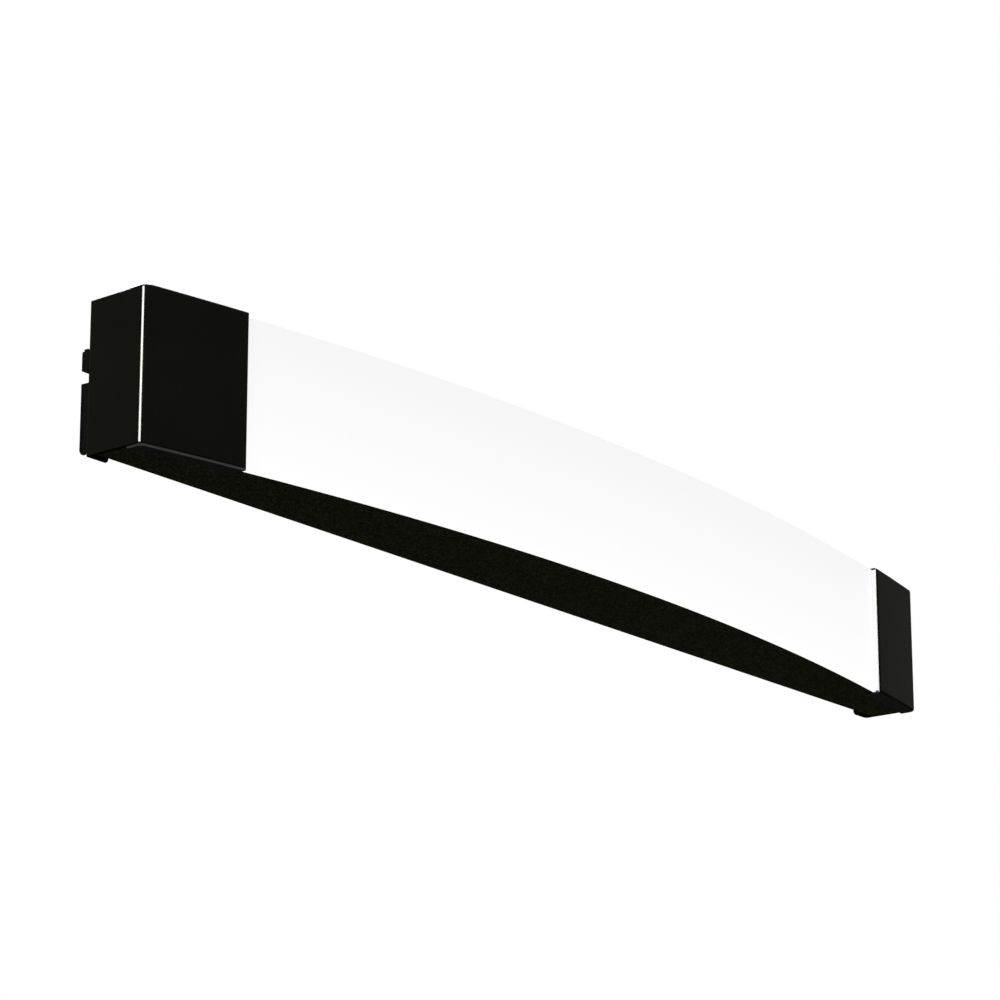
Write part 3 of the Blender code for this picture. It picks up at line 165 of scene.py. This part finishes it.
def leave():
    bpy.ops.object.mode_set(mode="OBJECT")


def pick(piece, kind, test):
    """In edit mode, selects just the verts, edges or faces that pass the test."""
    bpy.ops.mesh.select_mode(type={"verts": "VERT", "edges": "EDGE", "faces": "FACE"}[kind])
    bpy.ops.mesh.select_all(action="DESELECT")
    shape = bmesh.from_edit_mesh(piece.data)
    chosen = [part for part in getattr(shape, kind) if test(part)]
    for part in chosen:
        part.select_set(True)
    bmesh.update_edit_mesh(piece.data)
    return len(chosen)


def middle(part):
    """Middle of an edge or a face."""
    if isinstance(part, bmesh.types.BMEdge):
        return (part.verts[0].co + part.verts[1].co) / 2
    return part.calc_center_median()


def along(edge, axis):
    """True if the edge runs along that axis."""
    run = edge.verts[1].co - edge.verts[0].co
    return abs(run.normalized()[axis]) > 0.999


def near(a, b, reach=0.02 * mm):
    return abs(a - b) < reach


def box_middle(node):
    """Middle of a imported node's box at rest."""
    low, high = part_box(node)
    return (low + high) / 2


def slice_at(point, normal):
    """Bisects the whole of the mesh being edited."""
    bpy.ops.mesh.select_all(action="SELECT")
    bpy.ops.mesh.bisect(plane_co=point, plane_no=normal, use_fill=False)


def named(piece, name):
    piece.name = piece.data.name = name
    return piece


def block(name, low, high):
    """A cube primitive of that size at that place."""
    low, high = Vector(low), Vector(high)
    bpy.ops.object.select_all(action="DESELECT")
    bpy.ops.mesh.primitive_cube_add(size=1, location=(low + high) / 2)
    piece = bpy.context.object
    piece.scale = high - low
    bpy.ops.object.transform_apply(location=True, rotation=True, scale=True)
    return named(piece, name)


def modify(piece, kind, **settings):
    """Adds a modifier, sets it and applies it."""
    only(piece)
    modifier = piece.modifiers.new(kind.lower(), kind)
    for key, value in settings.items():
        setattr(modifier, key, value)
    bpy.ops.object.modifier_apply(modifier=modifier.name)


def cut(piece, *cutters):
    for cutter in cutters:
        modify(piece, "BOOLEAN", operation="DIFFERENCE", solver="EXACT", object=cutter)
        bpy.data.objects.remove(cutter)


def soften(piece, width, segments=2, angle=40):
    """Breaks the sharp edges and shades the rest smooth."""
    modify(piece, "BEVEL", width=width, segments=segments, limit_method="ANGLE",
           angle_limit=math.radians(angle), harden_normals=False)
    smooth(piece)


def smooth(piece, angle=32):
    only(piece)
    bpy.ops.object.shade_smooth_by_angle(angle=math.radians(angle))
    modify(piece, "WEIGHTED_NORMAL", weight=90, keep_sharp=True)


def outward(piece):
    edit(piece)
    bpy.ops.mesh.select_all(action="SELECT")
    bpy.ops.mesh.remove_doubles(threshold=1e-6)
    bpy.ops.mesh.normals_make_consistent(inside=False)
    leave()


def mirrored(piece, name):
    """A copy on the other side of the bar, with its own mesh."""
    only(piece)
    bpy.ops.object.duplicate()
    copy = named(bpy.context.object, name)
    copy.scale.x = -1
    bpy.ops.object.transform_apply(location=True, rotation=True, scale=True)
    edit(copy)
    bpy.ops.mesh.select_all(action="SELECT")
    bpy.ops.mesh.normals_make_consistent(inside=False)
    leave()
    smooth(copy)
    return copy


def bevel(width, segments, vertices=False, clamped=True):
    bpy.ops.mesh.bevel(offset=width, offset_type="OFFSET", segments=segments, profile=0.5,
                       affect="VERTICES" if vertices else "EDGES", clamp_overlap=clamped)


def bow_columns(piece, x_from, x_to, columns, is_front, inset):
    """Slices the piece across its length and moves each slice's front on to the bow."""
    for i in range(1, columns):
        slice_at((x_from + (x_to - x_from) * i / columns, 0, 0), (1, 0, 0))
    for i in range(columns + 1):
        x = x_from + (x_to - x_from) * i / columns
        picked = pick(piece, "verts", lambda v: near(v.co.x, x) and is_front(v.co))
        if picked:
            shape = bmesh.from_edit_mesh(piece.data)
            front = min(v.co.y for v in shape.verts if v.select)
            bpy.ops.transform.translate(value=(0, bow_y(x, inset) - front, 0))


def slot_cutter(centre, half_u, half_v, wall, radius):
    """A block along Y with rounded corners, for cutting a window or slot through the wall at that Y."""
    low = (centre[0] - half_u, wall - CUT_MARGIN, centre[1] - half_v)
    high = (centre[0] + half_u, wall + CUT_MARGIN, centre[1] + half_v)
    cutter = block("cutter", low, high)
    edit(cutter)
    pick(cutter, "edges", lambda e: along(e, 1))
    bevel(radius, 8)
    leave()
    return cutter


# ---------------------------------------------------------------- end caps


# white is the mouth's painted glow: white colour and a faint emission that stand for the diffuser's light reflected
# there
def end_cap(black, white):
    """Pressed cap: bowed front, side, back return, and flanges over the top and bottom."""
    inner, outer, back = CAP_LOW.x, CAP_HIGH.x - HAIR, CAP_HIGH.y  # a hair short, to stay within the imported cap
    cap = block("right_cap_pressing", (inner, bow_y(inner), FOOT), (outer, back, HEAD))
    edit(cap)
    bow_columns(cap, inner, outer, CAP_COLUMNS, lambda co: co.y < bow_y(inner) + FRONT_BAND, 0)

    # folds: the tall front corner, the back corner, then the edges round the front
    pick(cap, "edges", lambda e: along(e, 2) and near(middle(e).x, outer) and middle(e).y < back - FRONT_BAND)
    bevel(CAP_CORNER, 8)
    pick(cap, "edges", lambda e: along(e, 2) and near(middle(e).x, outer) and near(middle(e).y, back))
    bevel(CAP_BACK_CORNER, 5)

    def rolled(edge):
        """True for the edges round the front and side, and for the front's upright edge at the mouth."""
        place = middle(edge)
        if along(edge, 2):
            return near(place.x, inner) and place.y < back - FRONT_BAND
        at_end = near(place.z, FOOT) or near(place.z, HEAD)
        faces = [face.normal for face in edge.link_faces]
        return at_end and any(abs(n.z) < 0.1 and n.y < 0.9 and n.x > -0.9 for n in faces)

    pick(cap, "edges", rolled)
    bevel(CAP_EDGE, 6, clamped=False)

    # open it up: the flanges stop behind the front, the back return stops beside the side
    chord = Vector((outer - inner, bow_y(outer) - bow_y(inner), 0)).normalized()
    behind = Vector((-chord.y, chord.x, 0))
    flange_end = Vector((outer, bow_y(outer), 0)) + behind * CAP_FLANGE
    slice_at(flange_end, behind)
    slice_at((outer - CAP_RETURN, 0, 0), (1, 0, 0))
    mouth = bow_y(inner) + SETBACK - GAP
    slice_at((0, mouth, 0), (0, 1, 0))
    for z in (FOOT + CAP_SIDE_DROP, HEAD - CAP_SIDE_DROP):
        slice_at((0, 0, z), (0, 0, 1))

    def open_side(face):
        """True for the faces behind the flanges, beside the back return and behind the mouth."""
        place = middle(face)
        past_flange = (place - flange_end).dot(behind) > HAIR
        at_end = place.z > HEAD - CAP_SIDE_DROP or place.z < FOOT + CAP_SIDE_DROP
        beside_return = near(place.y, back) and place.x < outer - CAP_RETURN
        return (past_flange and at_end) or beside_return or (near(place.x, inner) and place.y > mouth)

    pick(cap, "faces", open_side)
    bpy.ops.mesh.delete(type="FACE")
    pick(cap, "verts", lambda v: near(v.co.x, outer - CAP_RETURN) and near(v.co.y, back)
         and (v.co.z > HEAD - RETURN_CORNER_BAND or v.co.z < FOOT + RETURN_CORNER_BAND))
    bevel(RETURN_CORNER, 5, vertices=True)
    leave()
    outward(cap)
    modify(cap, "SOLIDIFY", thickness=CAP_SHEET, offset=-1, use_even_offset=True)
    slot_x = outer - CAP_SCREW_INSET + CAP_SLOT_HALF - CAP_SLOT_LENGTH / 2
    for screw in ("right_lower_cap_screw", "right_upper_cap_screw"):
        centre = (slot_x, box_middle(screw).z)
        cut(cap, slot_cutter(centre, CAP_SLOT_LENGTH / 2, CAP_SLOT_HALF, back, CAP_SLOT_CORNER))
    soften(cap, CAP_BREAK)
    cap.data.materials.append(black)
    cap.data.materials.append(white)
    # the mouth's inner faces get the second slot, the painted glow that stands for the diffuser's reflected light
    edit(cap)
    pick(cap, "faces", lambda f: f.normal.x < -0.9 and near(middle(f).x, inner, FACE_REACH)
         and FOOT + PAINTED_GLOW_MARGIN < middle(f).z < HEAD - PAINTED_GLOW_MARGIN)
    cap.active_material_index = 1
    bpy.ops.object.material_slot_assign()
    leave()
    return cap


# ---------------------------------------------------------------- body


def diffuser():
    """Opal sheet on the bow, with the ribs that fit inside the body's plates."""
    end = DIFFUSER_HIGH.x
    low, high = DIFFUSER_LOW.z, DIFFUSER_HIGH.z
    front = bow_y(0, SETBACK)
    sheet = block("opal_diffuser", (-end, front, low), (end, front + DIFFUSER_SHEET, high))
    edit(sheet)
    rib_from = CHASSIS_SHEET + GAP
    rib_to = rib_from + RIB_SHEET
    for z in (low + rib_from, low + rib_to, high - rib_to, high - rib_from):
        slice_at((0, 0, z), (0, 0, 1))
    bow_columns(sheet, -end, end, BOW_COLUMNS, lambda co: True, SETBACK)

    def is_rib(face):
        place = middle(face)
        in_band = rib_from < place.z - low < rib_to or rib_from < high - place.z < rib_to
        return face.normal.y > 0.9 and in_band and abs(place.x) < end - RIB_END

    pick(sheet, "faces", is_rib)
    bpy.ops.mesh.extrude_region_move(TRANSFORM_OT_translate={"value": (0, RIB_DEPTH, 0)})
    leave()
    outward(sheet)
    soften(sheet, DIFFUSER_BREAK, segments=3)
    return sheet


def chassis():
    """Folded body: back wall with bends to its bowed top and bottom plates, and the wiring window."""
    low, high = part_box("chassis")
    body = block("folded_body", (low.x, bow_y(0), low.z), (high.x, high.y, high.z))
    edit(body)
    inset = SETBACK + DIFFUSER_SHEET + GAP
    bow_columns(body, low.x, high.x, BOW_COLUMNS, lambda co: co.y < bow_y(0) + FRONT_BAND, inset)
    pick(body, "faces", lambda f: abs(f.normal.x) > 0.99 or (f.normal.y < -0.5))
    bpy.ops.mesh.delete(type="FACE")
    pick(body, "edges", lambda e: near(middle(e).y, high.y) and not along(e, 2))
    bevel(CHASSIS_BEND, 6)
    leave()
    outward(body)
    modify(body, "SOLIDIFY", thickness=CHASSIS_SHEET, offset=-1, use_even_offset=True)
    cover_low, cover_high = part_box("wiring_cover")
    window = box_middle("wiring_cover")
    half = (cover_high - cover_low) / 2
    half_u, half_v = half.x - WINDOW_MARGINS[0], half.z - WINDOW_MARGINS[1]
    cut(body, slot_cutter((window.x, window.z), half_u, half_v, high.y, WINDOW_CORNER))
    for node in BODY_FIXINGS:
        hole = box_middle(node)
        cut(body, slot_cutter((hole.x, hole.z), FIXING_HOLE, FIXING_HOLE, high.y, FIXING_HOLE_CORNER))
    soften(body, CHASSIS_BREAK)
    return body


# ---------------------------------------------------------------- small pieces


def dressed(node, name, edge):
    """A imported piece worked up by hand: faces joined again and its edges broken."""
    piece = bpy.data.objects.new(name, frame["nodes"][node].data.copy())
    bpy.context.scene.collection.objects.link(piece)
    piece.data.materials.clear()
    named(piece, name)
    edit(piece)
    bpy.ops.mesh.select_all(action="SELECT")
    bpy.ops.mesh.remove_doubles(threshold=1e-6)
    bpy.ops.mesh.dissolve_limited(angle_limit=math.radians(0.5))
    bpy.ops.mesh.normals_make_consistent(inside=False)
    leave()
    soften(piece, edge, angle=35)
    return piece


def led_board(node, mask, phosphor):
    """Board with its LEDs, whose lit faces stand proud of the white mask."""
    board = dressed(node, node + "_assembly", BOARD_BREAK)
    board.data.materials.append(mask)
    board.data.materials.append(phosphor)
    led_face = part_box(node)[0].y + LED_FACE
    edit(board)
    pick(board, "faces", lambda f: f.normal.y < -0.9 and near(middle(f).y, led_face, FACE_REACH))
    board.active_material_index = 1
    bpy.ops.object.material_slot_assign()
    leave()
    return board


# ---------------------------------------------------------------- finishes


def material(name, colour, roughness, metallic=0.0, **sockets):
    made = bpy.data.materials.new(name)
    made.use_nodes = True
    shader = made.node_tree.nodes["Principled BSDF"]
    shader.inputs["Base Color"].default_value = (*colour, 1)
    shader.inputs["Roughness"].default_value = roughness
    shader.inputs["Metallic"].default_value = metallic
    for key, value in sockets.items():
        shader.inputs[key.replace("_", " ")].default_value = value
    return made


def noise(made, scale, detail=2.0, stretch=(1, 1, 1)):
    """Noise on object coordinates; scale is in features to the metre."""
    tree = made.node_tree
    place = tree.nodes.new("ShaderNodeTexCoord")
    mapping = tree.nodes.new("ShaderNodeMapping")
    mapping.inputs["Scale"].default_value = stretch
    texture = tree.nodes.new("ShaderNodeTexNoise")
    texture.inputs["Scale"].default_value = scale
    texture.inputs["Detail"].default_value = detail
    tree.links.new(place.outputs["Object"], mapping.inputs["Vector"])
    tree.links.new(mapping.outputs["Vector"], texture.inputs["Vector"])
    return texture.outputs["Fac"]


def remap(made, value, low, high, from_low=0.3, from_high=0.7):
    node = made.node_tree.nodes.new("ShaderNodeMapRange")
    for key, number in (("From Min", from_low), ("From Max", from_high), ("To Min", low), ("To Max", high)):
        node.inputs[key].default_value = number
    made.node_tree.links.new(value, node.inputs["Value"])
    return node.outputs["Result"]


def blend_colour(made, value, dark, light, from_low=0.3, from_high=0.7):
    """Base colour that runs from dark to light as the value goes from from_low to from_high."""
    ramp = made.node_tree.nodes.new("ShaderNodeValToRGB")
    ramp.color_ramp.elements[0].position, ramp.color_ramp.elements[1].position = from_low, from_high
    ramp.color_ramp.elements[0].color, ramp.color_ramp.elements[1].color = (*dark, 1), (*light, 1)
    made.node_tree.links.new(value, ramp.inputs["Fac"])
    connect(made, ramp.outputs["Color"], "Base Color")


def rub_edges(made, worn, amount):
    """Lightens the base colour along the edges, broken up by noise, as handling does."""
    tree = made.node_tree
    geometry = tree.nodes.new("ShaderNodeNewGeometry")
    edge = remap(made, geometry.outputs["Pointiness"], 0, amount, 0.52, 0.62)
    patchy = tree.nodes.new("ShaderNodeMath")
    patchy.operation = "MULTIPLY"
    tree.links.new(edge, patchy.inputs[0])
    tree.links.new(remap(made, noise(made, 260, 3), 0, 1), patchy.inputs[1])
    mix = tree.nodes.new("ShaderNodeMixRGB")
    colour = tree.nodes["Principled BSDF"].inputs["Base Color"].links[0].from_socket
    tree.links.new(patchy.outputs["Value"], mix.inputs["Fac"])
    tree.links.new(colour, mix.inputs["Color1"])
    mix.inputs["Color2"].default_value = (*worn, 1)
    connect(made, mix.outputs["Color"], "Base Color")


def connect(made, value, socket):
    made.node_tree.links.new(value, made.node_tree.nodes["Principled BSDF"].inputs[socket])


def bump(made, height, strength, distance):
    tree = made.node_tree
    node = tree.nodes.new("ShaderNodeBump")
    node.inputs["Strength"].default_value = strength
    node.inputs["Distance"].default_value = distance
    tree.links.new(height, node.inputs["Height"])
    connect(made, node.outputs["Normal"], "Normal")


def gloss_black():
    """Smooth black coat of the end caps, with a trace of orange peel."""
    made = material("cap_gloss_black", (0.004, 0.004, 0.002), 0.13, Specular_IOR_Level=0.6,
                    Specular_Tint=(1, 1, 0.88, 1), Coat_Weight=0.6, Coat_Roughness=0.06)
    blend_colour(made, noise(made, 22, 3), (0.0030, 0.0030, 0.0010), (0.0058, 0.0058, 0.0026))
    connect(made, remap(made, noise(made, 90, 4), 0.09, 0.17), "Roughness")
    bump(made, noise(made, 420, 1), 0.03, 0.03 * mm)
    return made


def textured_black():
    """Fine-textured black powder coat of the body."""
    made = material("body_textured_black", (0.012, 0.012, 0.008), 0.62, Specular_IOR_Level=0.06,
                    Specular_Tint=(1, 1, 0.7, 1))
    blend_colour(made, noise(made, 900, 3), (0.0, 0.0, 0.0), (0.036, 0.036, 0.013), 0.45, 0.68)
    connect(made, remap(made, noise(made, 1100, 2), 0.5, 0.75), "Roughness")
    bump(made, noise(made, 900, 3), 0.7, 0.2 * mm)
    return made


def satin_black():
    made = material("plate_satin_black", (0.002, 0.002, 0.002), 0.5, Specular_IOR_Level=0.25)
    blend_colour(made, noise(made, 60, 3), (0.0010, 0.0010, 0.0010), (0.0024, 0.0024, 0.0022))
    connect(made, remap(made, noise(made, 300, 3), 0.45, 0.6), "Roughness")
    bump(made, noise(made, 900, 2), 0.15, 0.05 * mm)
    rub_edges(made, (0.02, 0.02, 0.02), 0.6)
    return made


def lit_opal():
    """Opal acrylic lit from behind, a little dimmer along its top edge."""
    made = material("opal_acrylic_lit", (0.15, 0.15, 0.15), 0.35, Emission_Color=(1, 1, 1, 1),
                    Specular_IOR_Level=0.1)
    tree = made.node_tree
    place = tree.nodes.new("ShaderNodeTexCoord")
    split = tree.nodes.new("ShaderNodeSeparateXYZ")
    tree.links.new(place.outputs["Object"], split.inputs["Vector"])
    connect(made, remap(made, split.outputs["Z"], 0.955, 0.875, FOOT, HEAD), "Emission Strength")
    connect(made, remap(made, noise(made, 500, 2), 0.32, 0.4), "Roughness")
    return made


def painted_mouth_glow():
    """Inner edge of a cap's mouth, painted white with a faint glow: a painted reflection of the light of the
    diffuser beside it.
    """
    made = material("cap_mouth_painted_glow", (0.92, 0.92, 0.92), 0.3, Emission_Color=(1, 1, 1, 1), Emission_Strength=0.25)
    blend_colour(made, noise(made, 200, 2), (0.90, 0.90, 0.90), (0.94, 0.94, 0.94))
    connect(made, remap(made, noise(made, 500, 2), 0.35, 0.45), "Roughness")
    return made


def led_phosphor():
    made = material("led_phosphor_lit", (0.85, 0.72, 0.25), 0.4, Emission_Color=(1, 0.93, 0.78, 1),
                    Emission_Strength=3.0)
    blend_colour(made, noise(made, 900, 2), (0.80, 0.66, 0.20), (0.88, 0.76, 0.32))
    return made


def zinc():
    made = material("zinc_plate", (0.62, 0.62, 0.60), 0.35, 1.0)
    blend_colour(made, noise(made, 150, 3), (0.50, 0.50, 0.49), (0.68, 0.67, 0.62))
    connect(made, remap(made, noise(made, 400, 4, (1, 1, 6)), 0.28, 0.45), "Roughness")
    bump(made, noise(made, 1200, 2), 0.08, 0.03 * mm)
    rub_edges(made, (0.80, 0.80, 0.78), 0.7)
    return made


def brass():
    made = material("bare_brass", (0.70, 0.52, 0.22), 0.32, 1.0)
    blend_colour(made, noise(made, 300, 3), (0.58, 0.40, 0.15), (0.76, 0.58, 0.27))
    connect(made, remap(made, noise(made, 700, 3), 0.25, 0.42), "Roughness")
    bump(made, noise(made, 1000, 2), 0.06, 0.03 * mm)
    rub_edges(made, (0.86, 0.70, 0.40), 0.7)
    return made


def moulded(name, colour, roughness=0.5, grain=900):
    """Moulded plastic or rubber with a fine grain."""
    made = material(name, colour, roughness)
    dark = [c * 0.85 for c in colour]
    light = [min(c * 1.1, 1) for c in colour]
    blend_colour(made, noise(made, 120, 3), dark, light)
    connect(made, remap(made, noise(made, 500, 3), roughness - 0.07, roughness + 0.07), "Roughness")
    bump(made, noise(made, grain, 2), 0.15, 0.04 * mm)
    return made


def coat(piece, made):
    piece.data.materials.clear()
    piece.data.materials.append(made)


# ---------------------------------------------------------------- studio


def light(name, place, target, size, power):
    lamp = bpy.data.lights.new(name, "AREA")
    lamp.shape = "RECTANGLE"
    lamp.size, lamp.size_y = size
    lamp.energy = power
    holder = bpy.data.objects.new(name, lamp)
    holder.location = place
    holder.visible_camera = False
    holder.rotation_euler = (Vector(target) - Vector(place)).to_track_quat("-Z", "Y").to_euler()
    bpy.context.scene.collection.objects.link(holder)


def pale_floor():
    """Matt floor that fades into the white surround before its edge."""
    made = material("pale_floor", (0.8, 0.8, 0.79), 0.8, Specular_IOR_Level=0.1, Emission_Color=(1, 1, 1, 1))
    tree = made.node_tree
    place = tree.nodes.new("ShaderNodeTexCoord")
    reach = tree.nodes.new("ShaderNodeVectorMath")
    reach.operation = "LENGTH"
    path = tree.nodes.new("ShaderNodeLightPath")
    seen = tree.nodes.new("ShaderNodeMath")
    seen.operation = "MULTIPLY"
    tree.links.new(place.outputs["Object"], reach.inputs[0])
    tree.links.new(remap(made, reach.outputs["Value"], 0.5, 1.0, FADE_FROM, FADE_TO), seen.inputs[0])
    tree.links.new(path.outputs["Is Camera Ray"], seen.inputs[1])
    connect(made, seen.outputs["Value"], "Emission Strength")
    return made


def studio():
    world = bpy.data.worlds.new("studio")
    bpy.context.scene.world = world
    world.use_nodes = True
    tree = world.node_tree
    back = tree.nodes["Background"]
    place = tree.nodes.new("ShaderNodeTexCoord")
    split = tree.nodes.new("ShaderNodeSeparateXYZ")
    dim = tree.nodes.new("ShaderNodeMapRange")
    for key, number in WORLD_DIM.items():
        dim.inputs[key].default_value = number
    path = tree.nodes.new("ShaderNodeLightPath")
    strength = tree.nodes.new("ShaderNodeMapRange")
    strength.inputs["To Max"].default_value = 1.0
    tree.links.new(place.outputs["Generated"], split.inputs["Vector"])
    tree.links.new(split.outputs["Z"], dim.inputs["Value"])
    tree.links.new(dim.outputs["Result"], strength.inputs["To Min"])
    tree.links.new(path.outputs["Is Camera Ray"], strength.inputs["Value"])
    tree.links.new(strength.outputs["Result"], back.inputs["Strength"])
    back.inputs["Color"].default_value = (1, 1, 1, 1)

    bpy.ops.object.select_all(action="DESELECT")
    bpy.ops.mesh.primitive_plane_add(size=FLOOR_SIZE, location=(0, 0, FLOOR_HEIGHT))
    floor = named(bpy.context.object, "floor")
    bpy.ops.mesh.primitive_plane_add(size=SURROUND_SIZE, location=(0, 0, SURROUND_HEIGHT))
    surround = named(bpy.context.object, "surround")
    for ray in ("diffuse", "glossy", "transmission", "volume_scatter", "shadow"):
        setattr(surround, f"visible_{ray}", False)
    for ground in (floor, surround):
        coat(ground, pale_floor())
    light("key", (-0.3, -1.6, 2.4), (0, 0, 0), (1.2, 1.2), 3)
    light("corner_light", (-2.75, -0.62, 0.72), (-0.4, -0.05, 0.01), (0.95, 0.7), 34)
    light("floor_pool", (1.5, -0.5, 1.3), (1.3, -0.5, -3.0), (0.8, 0.8), 18)
    light("low_edge_light", (0.56, -0.46, -0.72), (-0.36, -0.08, -0.03), (0.45, 0.45), 0.7)
    light("overhead", (0.2, 0.5, 2.2), (0, 0, 0), (1.6, 1.0), 45)
    light("back_fill", (0.4, 1.9, 2.1), (0, 0, 0), (1.8, 0.9), 60)

    bpy.context.scene.view_settings.view_transform = "Standard"
    camera = bpy.data.objects.new("camera", bpy.data.cameras.new("camera"))
    camera.data.sensor_width = 36
    camera.data.lens = 111.76
    camera.data.shift_y = 0.2
    camera.location = CAMERA_PLACE
    camera.rotation_euler = [math.radians(a) for a in CAMERA_TURN]
    bpy.context.scene.collection.objects.link(camera)
    bpy.context.scene.camera = camera


def main():
    studio()
    finishes = {
        "cap_black": gloss_black(),
        "chassis_black": textured_black(),
        "plate_black": satin_black(),
        "opal": lit_opal(),
        "zinc": zinc(),
        "brass": brass(),
        "reflector_white": moulded("white_powder_coat", (0.82, 0.82, 0.80), 0.45),
        "board_white": moulded("white_solder_mask", (0.80, 0.81, 0.80), 0.4),
        "driver_white": moulded("driver_plastic", (0.70, 0.70, 0.68), 0.45),
        "driver_green": moulded("green_solder_mask", (0.05, 0.22, 0.08), 0.4),
        "terminal_grey": moulded("terminal_plastic", (0.55, 0.56, 0.56), 0.5),
        "rubber": moulded("rubber", (0.02, 0.02, 0.02), 0.8),
        "foam": moulded("foam", (0.06, 0.06, 0.06), 0.9, 600),
        "lead_brown": moulded("brown_insulation", (0.16, 0.07, 0.03)),
        "lead_blue": moulded("blue_insulation", (0.03, 0.12, 0.45)),
        "lead_green": moulded("green_insulation", (0.10, 0.38, 0.08)),
        "lead_red": moulded("red_insulation", (0.50, 0.03, 0.02)),
        "lead_black": moulded("black_insulation", (0.02, 0.02, 0.02)),
    }
    slots = {part["node"]: part["material_slot"] for part in frame["record"]["subparts"]}
    for name, node in frame["nodes"].items():
        coat(node, finishes[slots[name]])

    def stand_in(piece, body, *nodes):
        if not piece.data.materials:
            coat(piece, finishes[slots[nodes[0]]])
        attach(piece, body)
        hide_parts(*nodes)

    right = end_cap(finishes["cap_black"], painted_mouth_glow())
    left = mirrored(right, "left_cap_pressing")
    stand_in(right, "right_cap", "right_end_cap")
    stand_in(left, "left_cap", "left_end_cap")
    stand_in(diffuser(), "fixture", "diffuser")
    stand_in(chassis(), "fixture", "chassis")
    phosphor = led_phosphor()
    for node in ("left_led_board", "centre_led_board", "right_led_board"):
        stand_in(led_board(node, finishes["board_white"], phosphor), "fixture", node)
    for body, edge, kind, nodes in DRESSED:
        for node in nodes:
            stand_in(dressed(node, f"{node}_{kind}", edge), body, node)


main()
